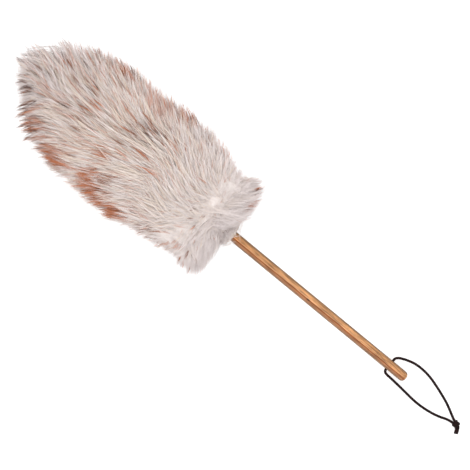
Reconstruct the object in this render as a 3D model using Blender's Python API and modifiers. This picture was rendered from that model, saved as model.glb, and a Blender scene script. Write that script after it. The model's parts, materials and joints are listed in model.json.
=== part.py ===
"""A lambswool duster lying on a table.

A turned wooden handle carries a head built on a thinner rod. A strip of tanned lambskin is
wound round the rod in a helix, and its pile makes the plume. A leather thong runs through
a cross hole near the butt and is tied in an overhand knot.
"""

import math
import random

import bmesh
import bpy
from mathutils import Matrix, Vector

# Handle
HANDLE_LENGTH = 0.2678
HANDLE_DIAMETER = 0.0128
HANDLE_SIDES = 40
BUTT_DOME = 0.0065
BUTT_FULLNESS = 0.72
DOME_RINGS = 9
SHOULDER_CHAMFER = 0.0004
HOLE_FROM_BUTT = 0.0253
HOLE_DIAMETER = 0.0042
HOLE_FLARE = 0.0006
HOLE_SIDES = 20
SOCKET_DEPTH = 0.026

# Core rod and the wound strip of skin
CORE_DIAMETER = 0.0078
CORE_LENGTH = 0.270
CORE_SIDES = 24
CORE_CHAMFER = 0.0006
HIDE_THICKNESS = 0.0014
WRAP_PITCH = 0.045
WRAP_SIDES = 24
SPARE_TURNS = 3
SEAM_GAP = 0.0008
FOLD_WALL = 0.0012
FOLD_DEPTH = 0.009

# Tacks
TACK_HEAD_DIAMETER = 0.0036
TACK_HEAD_HEIGHT = 0.0007
TACK_SHANK_DIAMETER = 0.0013
TACK_LENGTH = 0.0065
TACK_POINT = 0.0022
TACK_CROWN_SHARES = ((0.5, 0.8), (1.0, 0.25))
TACK_FROM_SHOULDER = 0.0045
TACK_SIDES = 16

# Plume of pile
WOOL_LENGTH = 0.334
WOOL_RADIUS = 0.080
WOOL_START = 0.011
REST_HEIGHT = 0.057
SAG_SHARE = 0.93
LOCK_LENGTH = 0.011
LOCK_JITTER = 0.0035
LOCK_SHARPNESS = 1.4
GROOVE_DEPTH = 0.004
GROOVE_WIDTH = 0.009
WOOL_ROWS = 44
WOOL_COLUMNS = 48
WOOL_SEED = 7
# How far out from the axis, as shares of the plume's radius, the rows have locks of full
# height, twice as many locks as at the middle, and four times as many
FULL_HEIGHT_SHARE = 0.45
TWICE_LOCKS_SHARE = 0.3
FOUR_TIMES_LOCKS_SHARE = 0.6
MIDDLE_LOCKS = 6
# Along the head from the shoulder, as shares of its length, and out from its axis, as shares
# of its radius
BASE_OUTLINE_SHARES = ((0.037, 0.16), (0.024, 0.40), (0.009, 0.62), (0.012, 0.78))
SIDE_OUTLINE_SHARES = (
    (0.048, 0.84),
    (0.12, 0.865),
    (0.20, 0.91),
    (0.28, 0.97),
    (0.38, 1.0),
    (0.50, 0.985),
    (0.60, 0.99),
    (0.68, 0.985),
)
TIP_OUTLINE_SHARES = (
    (0.76, 0.93),
    (0.83, 0.82),
    (0.89, 0.68),
    (0.935, 0.51),
    (0.97, 0.32),
    (0.99, 0.15),
    (1.0, 0.0),
)
# Along the head as a share of its length, and how much narrower or wider the plume is to -Y
# and to +Y, as shares
LOPSIDED_SHARES = (
    (0.03, 0.0, 0.03),
    (0.10, -0.05, -0.04),
    (0.24, -0.09, 0.02),
    (0.38, -0.02, 0.01),
    (0.55, -0.01, -0.01),
    (0.70, -0.04, 0.0),
    (0.80, -0.10, 0.02),
    (0.90, -0.24, 0.05),
    (1.0, -0.45, 0.20),
)
# Along the head as a share of its length, and how far the pile leans to the tip, as a share
# of a right angle
LEAN_SHARES = ((0.0, -0.22), (0.08, 0.05), (0.25, 0.28), (0.6, 0.42), (0.82, 0.62), (1.0, 1.0))

# Hanging thong
THONG_DIAMETER = 0.0032
THONG_SIDES_RESOLUTION = 2
THONG_STEP = 0.0055
BEND_STEP = 0.0017
BEND_REACH = 0.014
KNOT_REACH = 0.1065
KNOT_ASIDE = -0.0042
KNOT_TURN = math.radians(-8.0)
RING_POINTS = 16
STRAND_STEP = 0.0013
# From the hole along the handle, out from the handle's side, and how far down to the table
# as a share of the hole's height
UPPER_LEG = (
    (0.0000, 0.0014, 0.00),
    (0.0003, 0.0036, 0.01),
    (0.0023, 0.0062, 0.06),
    (0.0074, 0.0091, 0.21),
    (0.0150, 0.0120, 0.46),
    (0.0245, 0.0142, 0.75),
    (0.0355, 0.0145, 0.95),
    (0.0470, 0.0131, 1.00),
    (0.0590, 0.0099, 1.00),
    (0.0710, 0.0060, 1.00),
    (0.0830, 0.0014, 1.00),
)
LOWER_LEG = (
    (0.0000, 0.0014, 0.00),
    (0.0010, 0.0031, 0.01),
    (0.0038, 0.0043, 0.06),
    (0.0095, 0.0047, 0.17),
    (0.0175, 0.0052, 0.38),
    (0.0268, 0.0059, 0.64),
    (0.0370, 0.0068, 0.87),
    (0.0480, 0.0077, 0.98),
    (0.0602, 0.0077, 1.00),
    (0.0728, 0.0063, 1.00),
    (0.0845, 0.0037, 1.00),
)
# Places in the knot, in thong diameters: along it, across it and up from its middle
STRAND_LEAD_SHARES = (-3.5, 1.20, -0.80)
STRAND_ENTRY_SHARES = (-2.6, 0.88, -0.80)
STRAND_SHARES = ((-1.9, 0.66, -0.74), (-1.2, 0.48, -0.36), (-0.5, 0.42, -0.05))
UPPER_TAIL_SHARES = ((1.10, 0.10, 0.05), (2.00, -0.95, -0.12), (2.85, -2.20, -0.34))
LOWER_TAIL_SHARES = ((0.95, -0.60, -0.15), (1.62, -1.50, -0.62), (2.35, -2.65, -0.80))
# Each turn of the knot, in thong diameters: place along it, half width, half height; and
# its slant across the knot, as a share of a right angle
TURN_SHARES = ((-0.46, 1.00, 0.77, 0.20), (0.46, 1.00, 0.77, 0.20), (0.0, 1.12, 0.80, -0.36))
# Half sizes of the pressed heart of the knot, in thong diameters
HEART_SHARES = (0.95, 0.95, 0.84)
HEART_SEGMENTS = 16
HEART_RINGS = 10

# Clearances, and how finely curves are read
FIT = 0.0003
OVERRUN = 0.004
MERGE_DISTANCE = 0.00001
CURVE_SAMPLES = 32

HANDLE_RADIUS = HANDLE_DIAMETER / 2
CORE_RADIUS = CORE_DIAMETER / 2
HIDE_INSIDE = CORE_RADIUS + FIT
HIDE_OUTSIDE = HIDE_INSIDE + HIDE_THICKNESS
FOLD_INSIDE = (HIDE_INSIDE + HIDE_OUTSIDE) / 2
FOLD_OUTSIDE = FOLD_INSIDE + FOLD_WALL
FOLD_TOP = -(CORE_LENGTH + FIT)
FOLD_END = FOLD_TOP - HIDE_THICKNESS
TACK_SHANK_RADIUS = TACK_SHANK_DIAMETER / 2
THONG_RADIUS = THONG_DIAMETER / 2
HOLE_ALONG = HANDLE_LENGTH - HOLE_FROM_BUTT
SEAM_ALONG = -TACK_FROM_SHOULDER + WRAP_PITCH / 2
TILT = math.asin((REST_HEIGHT - HANDLE_RADIUS) / (HANDLE_LENGTH + WOOL_LENGTH / 2))


def clear_scene():
    """Removes whatever the file holds, so that a second run starts clean."""
    for obj in list(bpy.data.objects):
        bpy.data.objects.remove(obj, do_unlink=True)
    for collection in list(bpy.data.collections):
        bpy.data.collections.remove(collection)


def new_collection(name, rendered=True):
    collection = bpy.data.collections.new(name)
    bpy.context.scene.collection.children.link(collection)
    collection.hide_render = not rendered
    return collection


def linear(hex_colour):
    """A colour written as sRGB hex digits, as linear RGBA."""
    channels = [int(hex_colour[i : i + 2], 16) / 255 for i in (0, 2, 4)]
    return [c / 12.92 if c <= 0.04045 else ((c + 0.055) / 1.055) ** 2.4 for c in channels] + [1.0]


def material(name, hex_colour, roughness, metallic=0.0):
    made = bpy.data.materials.new(name)
    made.use_nodes = True
    shader = made.node_tree.nodes["Principled BSDF"]
    shader.inputs["Base Color"].default_value = linear(hex_colour)
    shader.inputs["Roughness"].default_value = roughness
    shader.inputs["Metallic"].default_value = metallic
    made.diffuse_color = linear(hex_colour)
    return made


def place(obj, collection, parent=None, finish=None):
    """Links an object into a collection, under its parent, with its material."""
    collection.objects.link(obj)
    obj.parent = parent
    if finish is not None:
        obj.data.materials.append(finish)
    return obj


def as_cutter(obj):
    obj.hide_render = True
    obj.display_type = "WIRE"
    return obj


def turned(name, profile, sides):
    """A turned body. The profile's (radius, height) points run down its outer side."""
    mesh = bpy.data.meshes.new(name)
    bm = bmesh.new()
    points = [bm.verts.new((radius, 0.0, height)) for radius, height in profile]
    for first, second in zip(points, points[1:]):
        bm.edges.new((first, second))
    bm.to_mesh(mesh)
    bm.free()
    obj = bpy.data.objects.new(name, mesh)
    screw = obj.modifiers.new("turn", "SCREW")
    screw.axis = "Z"
    screw.steps = sides
    screw.render_steps = sides
    screw.use_merge_vertices = True
    screw.merge_threshold = MERGE_DISTANCE
    screw.use_smooth_shade = True
    return obj


def boolean(obj, other, operation):
    cut = obj.modifiers.new(f"{operation.lower()}_{other.name}", "BOOLEAN")
    cut.operation = operation
    cut.object = other
    cut.solver = "EXACT"
    return cut


def poly_curve(name, points, radius, cyclic=False):
    """A round tube along points."""
    curve = bpy.data.curves.new(name, "CURVE")
    curve.dimensions = "3D"
    curve.bevel_depth = radius
    curve.bevel_resolution = THONG_SIDES_RESOLUTION
    curve.use_fill_caps = not cyclic
    spline = curve.splines.new("POLY")
    spline.points.add(len(points) - 1)
    for place_on, point in zip(spline.points, points):
        place_on.co = (*point, 1.0)
    spline.use_cyclic_u = cyclic
    spline.use_smooth = True
    return bpy.data.objects.new(name, curve)


def meshed(curve_object, collection):
    """The tube of a curve object as a closed mesh object, in the curve's place."""
    bpy.context.view_layer.update()
    graph = bpy.context.evaluated_depsgraph_get()
    mesh = bpy.data.meshes.new_from_object(curve_object.evaluated_get(graph))
    bm = bmesh.new()
    bm.from_mesh(mesh)
    bmesh.ops.remove_doubles(bm, verts=bm.verts, dist=MERGE_DISTANCE)
    bmesh.ops.recalc_face_normals(bm, faces=bm.faces)
    bm.to_mesh(mesh)
    bm.free()
    name, parent = curve_object.name, curve_object.parent
    matrix, offset = curve_object.matrix_world.copy(), curve_object.matrix_parent_inverse.copy()
    bpy.data.objects.remove(curve_object, do_unlink=True)
    obj = bpy.data.objects.new(name, mesh)
    collection.objects.link(obj)
    obj.parent = parent
    obj.matrix_parent_inverse = offset
    obj.matrix_world = matrix
    return obj


def through(points):
    """A smooth curve through points, as a dense list."""
    ends = [points[0] * 2 - points[1], *points, points[-1] * 2 - points[-2]]
    found = []
    for a, b, c, d in zip(ends, ends[1:], ends[2:], ends[3:]):
        for k in range(CURVE_SAMPLES):
            t = k / CURVE_SAMPLES
            found.append(
                (
                    b * 2
                    + (c - a) * t
                    + (a * 2 - b * 5 + c * 4 - d) * t**2
                    + (b * 3 - a - c * 3 + d) * t**3
                )
                / 2
            )
    return [*found, points[-1].copy()]


def spaced(points, steps):
    """Points along a dense line, where steps gives the wanted spacing at each of them."""
    kept, gone = [points[0]], 0.0
    for before, point in zip(points, points[1:]):
        gone += (point - before).length
        if gone >= steps(point):
            kept.append(point)
            gone = 0.0
    if gone < steps(points[-1]) / 2:
        kept.pop()
    return [*kept, points[-1]]


def ramp(shares, at):
    """The value at one place on a list of (place, value) shares, straight between them."""
    for (a, first), (b, second) in zip(shares, shares[1:]):
        if at <= b:
            return first + (second - first) * max(at - a, 0.0) / (b - a)
    return shares[-1][1]


def eased(value):
    value = min(max(value, 0.0), 1.0)
    return value * value * (3 - 2 * value)


def handle_profile():
    """The handle's outside from the butt to the shoulder, then its socket."""
    dome = []
    for k in range(DOME_RINGS + 1):
        turn = math.pi / 2 * (1 - k / DOME_RINGS)
        dome.append(
            (
                HANDLE_RADIUS * math.cos(turn) ** BUTT_FULLNESS if k else 0.0,
                HANDLE_LENGTH - BUTT_DOME * (1 - math.sin(turn) ** BUTT_FULLNESS),
            )
        )
    socket = CORE_RADIUS + FIT
    return [
        *dome,
        (HANDLE_RADIUS, SHOULDER_CHAMFER),
        (HANDLE_RADIUS - SHOULDER_CHAMFER, 0.0),
        (socket, 0.0),
        (socket, SOCKET_DEPTH),
        (0.0, SOCKET_DEPTH),
    ]


def shoulder_height():
    """The height of the shoulder's middle that lays the tilted handle's butt on the table."""
    return max(
        height * math.sin(TILT) + radius * math.cos(TILT) for radius, height in handle_profile()
    )


def make_handle(parts, cutters, axis, finish):
    handle = place(turned("handle", handle_profile(), HANDLE_SIDES), parts, axis, finish)
    hole, mouth = HOLE_DIAMETER / 2, HANDLE_RADIUS
    far = mouth + OVERRUN
    flare = hole + HOLE_FLARE
    drill = turned(
        "cross_hole_drill",
        [
            (0.0, far),
            (flare + OVERRUN, far),
            (flare, mouth),
            (hole, mouth - HOLE_FLARE),
            (hole, HOLE_FLARE - mouth),
            (flare, -mouth),
            (flare + OVERRUN, -far),
            (0.0, -far),
        ],
        HOLE_SIDES,
    )
    drill.location = (0.0, 0.0, HOLE_ALONG)
    drill.rotation_euler = (math.pi / 2, 0.0, 0.0)
    boolean(handle, as_cutter(place(drill, cutters, axis)), "DIFFERENCE")
    return handle


def tack_drill(name, depth, cutters, axis):
    """A cutter for a tack's hole, with its mouth at its origin and its bottom below."""
    radius = TACK_SHANK_RADIUS + FIT
    profile = [(0.0, OVERRUN), (radius, OVERRUN), (radius, -depth), (0.0, -depth)]
    return as_cutter(place(turned(name, profile, TACK_SIDES), cutters, axis))


def make_core(parts, cutters, axis, finish):
    """The rod of the head, from the bottom of the handle's socket to the tip."""
    top, hole = SOCKET_DEPTH - FIT, TACK_SHANK_RADIUS + FIT
    bottom = FOLD_END - FIT + TACK_LENGTH + FIT * 2
    profile = [
        (0.0, top),
        (CORE_RADIUS - CORE_CHAMFER, top),
        (CORE_RADIUS, top - CORE_CHAMFER),
        (CORE_RADIUS, -CORE_LENGTH),
        (hole, -CORE_LENGTH),
        (hole, bottom),
        (0.0, bottom),
    ]
    core = place(turned("head_core", profile, CORE_SIDES), parts, axis, finish)
    drill = tack_drill("core_tack_drill", TACK_LENGTH, cutters, axis)
    drill.location = (HIDE_OUTSIDE, 0.0, -TACK_FROM_SHOULDER)
    drill.rotation_euler = (0.0, math.pi / 2, 0.0)
    boolean(core, drill, "DIFFERENCE")
    return core


def make_strip(parts, cutters, axis, finish):
    """The strip of skin: a helix trimmed square at both ends, with its end folded over the tip."""
    turns = math.ceil(CORE_LENGTH / WRAP_PITCH) + SPARE_TURNS
    start = SEAM_ALONG + WRAP_PITCH - turns * WRAP_PITCH
    mesh = bpy.data.meshes.new("hide_strip")
    bm = bmesh.new()
    low = bm.verts.new((HIDE_INSIDE, 0.0, start))
    high = bm.verts.new((HIDE_INSIDE, 0.0, start + WRAP_PITCH - SEAM_GAP))
    bm.edges.new((high, low))
    bm.to_mesh(mesh)
    bm.free()
    strip = place(bpy.data.objects.new("hide_strip", mesh), parts, axis, finish)
    wind = strip.modifiers.new("wind", "SCREW")
    wind.axis = "Z"
    wind.steps = WRAP_SIDES
    wind.render_steps = WRAP_SIDES
    wind.iterations = turns
    wind.screw_offset = WRAP_PITCH
    wind.use_smooth_shade = True
    skin = strip.modifiers.new("skin", "SOLIDIFY")
    skin.thickness = HIDE_THICKNESS
    skin.offset = 1.0

    half = (CORE_LENGTH - FIT) / 2
    trim = turned(
        "strip_trim",
        [
            (0.0, half),
            (HIDE_OUTSIDE + OVERRUN, half),
            (HIDE_OUTSIDE + OVERRUN, -half),
            (0.0, -half),
        ],
        WRAP_SIDES,
    )
    trim.location = (0.0, 0.0, -FIT - half)
    boolean(strip, as_cutter(place(trim, cutters, axis)), "INTERSECT")

    hole = TACK_SHANK_RADIUS + FIT
    fold = turned(
        "strip_fold",
        [
            (FOLD_INSIDE, FOLD_TOP + FOLD_DEPTH),
            (FOLD_OUTSIDE, FOLD_TOP + FOLD_DEPTH),
            (FOLD_OUTSIDE, FOLD_END),
            (hole, FOLD_END),
            (hole, FOLD_TOP),
            (FOLD_INSIDE, FOLD_TOP),
            (FOLD_INSIDE, FOLD_TOP + FOLD_DEPTH),
        ],
        WRAP_SIDES,
    )
    boolean(strip, as_cutter(place(fold, cutters, axis)), "UNION")

    drill = tack_drill("strip_tack_drill", TACK_LENGTH, cutters, axis)
    drill.location = (HIDE_OUTSIDE, 0.0, -TACK_FROM_SHOULDER)
    drill.rotation_euler = (0.0, math.pi / 2, 0.0)
    boolean(strip, drill, "DIFFERENCE")
    return strip


def make_tack(name, parts, axis, finish):
    """A tack with its head's flat underside at its origin and its head up."""
    head = TACK_HEAD_DIAMETER / 2
    profile = [
        (0.0, TACK_HEAD_HEIGHT),
        *((head * out, TACK_HEAD_HEIGHT * up) for out, up in TACK_CROWN_SHARES),
        (head, 0.0),
        (TACK_SHANK_RADIUS, 0.0),
        (TACK_SHANK_RADIUS, TACK_POINT - TACK_LENGTH),
        (0.0, -TACK_LENGTH),
    ]
    return place(turned(name, profile, TACK_SIDES), parts, axis, finish)


def wool_outline():
    """The plume's outline from its bore at the base, out, along its side and in to its tip."""
    bore = HIDE_OUTSIDE + FIT
    shares = (*BASE_OUTLINE_SHARES, *SIDE_OUTLINE_SHARES, *TIP_OUTLINE_SHARES)
    points = [Vector((bore, -WOOL_START))]
    points += [Vector((out * WOOL_RADIUS, -along * WOOL_LENGTH)) for along, out in shares]
    dense = through(points)
    lengths = [0.0]
    for before, point in zip(dense, dense[1:]):
        lengths.append(lengths[-1] + (point - before).length)
    found, k = [], 0
    for row in range(WOOL_ROWS + 1):
        wanted = lengths[-1] * row / WOOL_ROWS
        while k < len(lengths) - 2 and lengths[k + 1] < wanted:
            k += 1
        share = (wanted - lengths[k]) / (lengths[k + 1] - lengths[k])
        found.append(dense[k].lerp(dense[k + 1], share))
    return found


def locks_round(radius):
    """How many locks stand in one row of the plume."""
    if radius > WOOL_RADIUS * FOUR_TIMES_LOCKS_SHARE:
        return MIDDLE_LOCKS * 4
    return MIDDLE_LOCKS * 2 if radius > WOOL_RADIUS * TWICE_LOCKS_SHARE else MIDDLE_LOCKS


def lopsided(share, turn):
    """How much of its even width the plume has at a place along it and round it."""
    narrow = ramp([(at, low) for at, low, _ in LOPSIDED_SHARES], share)
    wide = ramp([(at, high) for at, _, high in LOPSIDED_SHARES], share)
    side = (1 + math.sin(turn)) / 2
    return 1 + narrow * (1 - side) + wide * side


def make_wool(parts, cutters, axis, table, finish):
    """The pile: rows of pointed locks that lean to the tip, parted along the strip's seam."""
    chance = random.Random(WOOL_SEED)
    outline = wool_outline()
    bm = bmesh.new()
    rings = []
    for row, (radius, along) in enumerate(outline[:-1]):
        share = -along / WOOL_LENGTH
        lean = ramp(LEAN_SHARES, share) * math.pi / 2
        full = eased(radius / (WOOL_RADIUS * FULL_HEIGHT_SHARE)) if row else 0.0
        locks = locks_round(radius)
        ring = []
        for column in range(WOOL_COLUMNS):
            turn = 2 * math.pi * column / WOOL_COLUMNS
            tip = ((1 + math.cos(locks * turn + math.pi * row)) / 2) ** LOCK_SHARPNESS
            inward = LOCK_LENGTH * (1 - tip) + LOCK_JITTER * chance.random()
            seam = (along - SEAM_ALONG) / WRAP_PITCH - turn / (2 * math.pi)
            off_seam = abs(seam - round(seam)) * WRAP_PITCH
            groove = GROOVE_DEPTH * math.exp(-((off_seam / GROOVE_WIDTH) ** 2))
            out = radius - full * (inward * math.cos(lean) + groove)
            out *= lopsided(share, turn) if row else 1.0
            back = along + full * inward * math.sin(lean)
            sag = SAG_SHARE if row else 1.0
            ring.append(bm.verts.new((out * math.cos(turn) * sag, out * math.sin(turn), back)))
        rings.append(ring)

    fold = FOLD_OUTSIDE + FIT
    step = FOLD_TOP + FOLD_DEPTH + FIT
    end = FOLD_END - FIT - TACK_HEAD_HEIGHT - FIT
    bore = [(HIDE_OUTSIDE + FIT, step), (fold, step), (fold, end)]
    for radius, along in bore:
        ring = []
        for column in range(WOOL_COLUMNS):
            turn = 2 * math.pi * column / WOOL_COLUMNS
            ring.append(bm.verts.new((radius * math.cos(turn), radius * math.sin(turn), along)))
        rings.insert(0, ring)

    inner, tip = bm.verts.new((0.0, 0.0, end)), bm.verts.new((0.0, 0.0, outline[-1].y))
    for k in range(WOOL_COLUMNS):
        after = (k + 1) % WOOL_COLUMNS
        bm.faces.new((inner, rings[0][k], rings[0][after]))
        for row, (first, second) in enumerate(zip(rings, rings[1:]), 1 - len(bore)):
            # Each face is folded between two hollows, so that every lock is a point of its own
            if (row + k) % 2:
                bm.faces.new((first[k], second[k], second[after]))
                bm.faces.new((first[k], second[after], first[after]))
            else:
                bm.faces.new((first[k], second[k], first[after]))
                bm.faces.new((second[k], second[after], first[after]))
        bm.faces.new((rings[-1][after], rings[-1][k], tip))
    bmesh.ops.recalc_face_normals(bm, faces=bm.faces)
    mesh = bpy.data.meshes.new("wool")
    bm.to_mesh(mesh)
    bm.free()
    wool = place(bpy.data.objects.new("wool", mesh), parts, axis, finish)
    boolean(wool, table, "DIFFERENCE")
    return wool


def make_table(cutters, root):
    """The space under the table top, which flattens the pile that lies on it."""
    bpy.ops.mesh.primitive_cube_add(size=WOOL_LENGTH * 4)
    table = bpy.context.active_object
    table.name = "table_space"
    for collection in list(table.users_collection):
        collection.objects.unlink(table)
    table.location = (0.0, 0.0, -WOOL_LENGTH * 2)
    return as_cutter(place(table, cutters, root))


def knot_matrix(hole_height):
    """The knot's own frame, seen from the hole's middle."""
    middle = THONG_RADIUS - STRAND_ENTRY_SHARES[2] * THONG_DIAMETER - hole_height
    turn = Matrix.Rotation(KNOT_TURN, 4, "Z")
    return Matrix.Translation((KNOT_REACH, KNOT_ASIDE, middle)) @ turn


def knot_point(shares, side=1):
    along, across, up = shares
    return Vector((along, side * across, up)) * THONG_DIAMETER


def leg_route(leg, side, hole_height):
    """One leg's points from the hole's mouth to the knot."""
    drop = THONG_RADIUS - hole_height
    route = [Vector((x, side * (HANDLE_RADIUS + out), down * drop)) for x, out, down in leg]
    lead, entry = (
        knot_matrix(hole_height) @ knot_point(shares, side)
        for shares in (STRAND_LEAD_SHARES, STRAND_ENTRY_SHARES)
    )
    return [*route, lead, entry + (lead - entry).normalized() * FIT]


def bend_steps(point):
    """Closer points near the hole's mouths, where the thong bends sharply."""
    beyond = max(abs(point.y) - HANDLE_RADIUS, 0.0)
    return BEND_STEP if math.hypot(point.x, beyond) < BEND_REACH else THONG_STEP


def make_thong(parts, swing, hole_height, finish):
    """The thong from the knot along one leg, through the handle and back along the other."""
    upper = spaced(through(leg_route(UPPER_LEG, 1, hole_height)), bend_steps)
    lower = spaced(through(leg_route(LOWER_LEG, -1, hole_height)), bend_steps)
    points = [*reversed(upper), *lower]
    length = sum((b - a).length for a, b in zip(points, points[1:]))
    print(f"thong loop: {len(points)} points, {length:.4f} m from knot to knot")
    return place(poly_curve("thong_loop", points, THONG_RADIUS), parts, swing, finish)


def make_knot(parts, cutters, swing, hole_height, finish):
    """Both ends of the thong side by side in one overhand knot, with their tails."""
    frame = knot_matrix(hole_height)
    pieces = []
    for name, side, tail in (
        ("thong_knot", 1, UPPER_TAIL_SHARES),
        ("knot_strand", -1, LOWER_TAIL_SHARES),
    ):
        route = [knot_point(STRAND_ENTRY_SHARES, side)]
        route += [knot_point(shares, side) for shares in STRAND_SHARES]
        route += [knot_point(shares) for shares in tail]
        points = spaced(through(route), lambda point: STRAND_STEP)
        pieces.append(poly_curve(name, points, THONG_RADIUS))
    for number, (along, wide, high, slant) in enumerate(TURN_SHARES):
        lean = Matrix.Rotation(slant * math.pi / 2, 3, "Z")
        ring = []
        for k in range(RING_POINTS):
            turn = 2 * math.pi * k / RING_POINTS
            loop = lean @ Vector((0.0, wide * math.cos(turn), high * math.sin(turn)))
            ring.append((loop + Vector((along, 0.0, 0.0))) * THONG_DIAMETER)
        pieces.append(poly_curve(f"knot_turn_{number + 1}", ring, THONG_RADIUS, cyclic=True))
    heart_mesh = bpy.data.meshes.new("knot_heart")
    bm = bmesh.new()
    sizes = Matrix.Diagonal((*HEART_SHARES, 1.0))
    bmesh.ops.create_uvsphere(
        bm,
        u_segments=HEART_SEGMENTS,
        v_segments=HEART_RINGS,
        radius=THONG_DIAMETER,
        matrix=sizes,
    )
    bm.to_mesh(heart_mesh)
    bm.free()
    heart = place(bpy.data.objects.new("knot_heart", heart_mesh), cutters, swing)
    heart.matrix_local = frame
    knot, *others = pieces
    place(knot, parts, swing)
    knot.matrix_local = frame
    knot = meshed(knot, parts)
    knot.data.materials.clear()
    knot.data.materials.append(finish)
    boolean(knot, as_cutter(heart), "UNION")
    for other in others:
        place(other, cutters, swing)
        other.matrix_local = frame
        boolean(knot, as_cutter(meshed(other, cutters)), "UNION")
    return knot


def centre_on_floor(root, objects):
    """Moves the whole duster so that the middle of the given objects' box is at X and Y zero."""
    bpy.context.view_layer.update()
    graph = bpy.context.evaluated_depsgraph_get()
    mesh_points = []
    for obj in objects:
        shape = obj.evaluated_get(graph)
        mesh_points += [shape.matrix_world @ vertex.co for vertex in shape.data.vertices]
    for axis in (0, 1):
        values = [point[axis] for point in mesh_points]
        root.location[axis] -= (min(values) + max(values)) / 2
    bpy.context.view_layer.update()
    print("lowest point", round(min(point.z for point in mesh_points), 6))


def main():
    clear_scene()
    parts = new_collection("lambswool_duster")
    cutters = new_collection("cutters", rendered=False)

    wood = material("lacquered_beech", "C98B57", 0.32)
    rod = material("plain_birch", "D9BE93", 0.7)
    hide = material("tanned_lambskin", "E4D8C4", 0.85)
    pile = material("lambswool_pile", "E3DAD4", 1.0)
    steel = material("blued_steel", "565B63", 0.35, 1.0)
    leather = material("dark_leather", "2A1614", 0.45)

    root = place(bpy.data.objects.new("duster", None), parts)
    axis = place(bpy.data.objects.new("shaft_axis", None), parts, root)
    axis.location = (0.0, 0.0, shoulder_height())
    axis.rotation_euler = (0.0, math.pi / 2 + TILT, 0.0)
    hole_height = shoulder_height() - HOLE_ALONG * math.sin(TILT)
    swing = place(bpy.data.objects.new("loop_swing_axis", None), parts, root)
    swing.location = (HOLE_ALONG * math.cos(TILT), 0.0, hole_height)

    table = make_table(cutters, root)
    handle = make_handle(parts, cutters, axis, wood)
    core = make_core(parts, cutters, axis, rod)
    strip = make_strip(parts, cutters, axis, hide)
    wool = make_wool(parts, cutters, axis, table, pile)
    base_tack = make_tack("strip_tack_base", parts, axis, steel)
    base_tack.location = (HIDE_OUTSIDE + FIT, 0.0, -TACK_FROM_SHOULDER)
    base_tack.rotation_euler = (0.0, math.pi / 2, 0.0)
    tip_tack = make_tack("strip_tack_tip", parts, axis, steel)
    tip_tack.location = (0.0, 0.0, FOLD_END - FIT)
    tip_tack.rotation_euler = (math.pi, 0.0, 0.0)
    make_thong(parts, swing, hole_height, leather)
    make_knot(parts, cutters, swing, hole_height, leather)

    centre_on_floor(root, [handle, core, strip, wool, base_tack, tip_tack])
    print("tilt", round(math.degrees(TILT), 3), "degrees")
    print("hole middle", [round(value, 6) for value in swing.matrix_world.translation])
    print("shoulder middle", [round(value, 6) for value in axis.matrix_world.translation])


main()
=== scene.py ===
"""The looks of a lambswool duster that lies on a pale table.

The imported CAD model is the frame: it gives the handle, the rod of the head, the strip of skin, the
tacks and the knot. This script gives them their finishes, and it makes what a solid can't show:
the pile, strand by strand, and the round leather thong.
"""

import json
import logging
import math
from collections.abc import Callable, Sequence
from dataclasses import dataclass
from enum import Enum
from typing import NamedTuple

import bmesh
import bpy
import numpy as np
from mathutils import Matrix, Vector, noise

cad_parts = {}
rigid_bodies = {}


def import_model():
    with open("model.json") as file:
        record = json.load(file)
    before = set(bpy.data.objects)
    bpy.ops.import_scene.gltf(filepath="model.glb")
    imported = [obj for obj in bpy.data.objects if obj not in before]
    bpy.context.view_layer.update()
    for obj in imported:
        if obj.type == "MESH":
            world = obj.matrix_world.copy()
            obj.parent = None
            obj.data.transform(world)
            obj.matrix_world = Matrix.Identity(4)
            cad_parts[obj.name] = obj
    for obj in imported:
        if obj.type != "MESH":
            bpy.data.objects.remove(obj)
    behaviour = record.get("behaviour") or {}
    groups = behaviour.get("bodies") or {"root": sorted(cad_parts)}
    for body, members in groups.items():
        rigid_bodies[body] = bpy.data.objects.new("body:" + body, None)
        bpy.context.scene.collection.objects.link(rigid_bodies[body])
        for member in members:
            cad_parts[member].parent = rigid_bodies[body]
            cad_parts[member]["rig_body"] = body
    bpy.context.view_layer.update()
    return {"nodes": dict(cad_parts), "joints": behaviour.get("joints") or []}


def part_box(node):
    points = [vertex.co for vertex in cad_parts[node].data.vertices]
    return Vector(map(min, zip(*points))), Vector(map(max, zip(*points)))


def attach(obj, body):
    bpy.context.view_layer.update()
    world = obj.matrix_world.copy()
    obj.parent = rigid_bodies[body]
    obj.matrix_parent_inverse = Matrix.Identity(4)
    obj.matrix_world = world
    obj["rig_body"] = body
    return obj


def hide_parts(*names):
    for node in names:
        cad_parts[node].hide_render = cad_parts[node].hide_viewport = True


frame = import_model()
LOG = logging.getLogger("duster")
MM = 0.001
MERGE_DISTANCE = 0.01 * MM
# On the map of tints, as shares: how far strands keep from the edges of their column and of the
# map, and how far apart a strand's three sides lie
COLUMN_MARGIN = 0.06
MAP_MARGIN = 0.01
SIDE_STEP = 0.003
# A field of chance over the plume: how many waves it adds up, how far apart the crests of each
# may be for its size, and how many times one may wind round the plume either way
WAVES = 6
CREST_SHARES = (0.7, 1.8)
MOST_WINDS = 5

Colour = tuple[float, float, float, float]
Socket = bpy.types.NodeSocket
Outline = Sequence[tuple[float, float]]
Route = Sequence[tuple[float, float, float]]
Grain = tuple[float, float, float]


def linear(hex_colour: str) -> Colour:
    """Turns a colour written as sRGB hex digits into linear numbers.

    Args:
        hex_colour: Six hex digits, red first.

    Returns:
        The linear red, green, blue and an alpha of 1.
    """
    shares = [int(hex_colour[i : i + 2], 16) / 255 for i in (0, 2, 4)]
    channels = [c / 12.92 if c <= 0.04045 else ((c + 0.055) / 1.055) ** 2.4 for c in shares]
    return (channels[0], channels[1], channels[2], 1.0)


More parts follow.
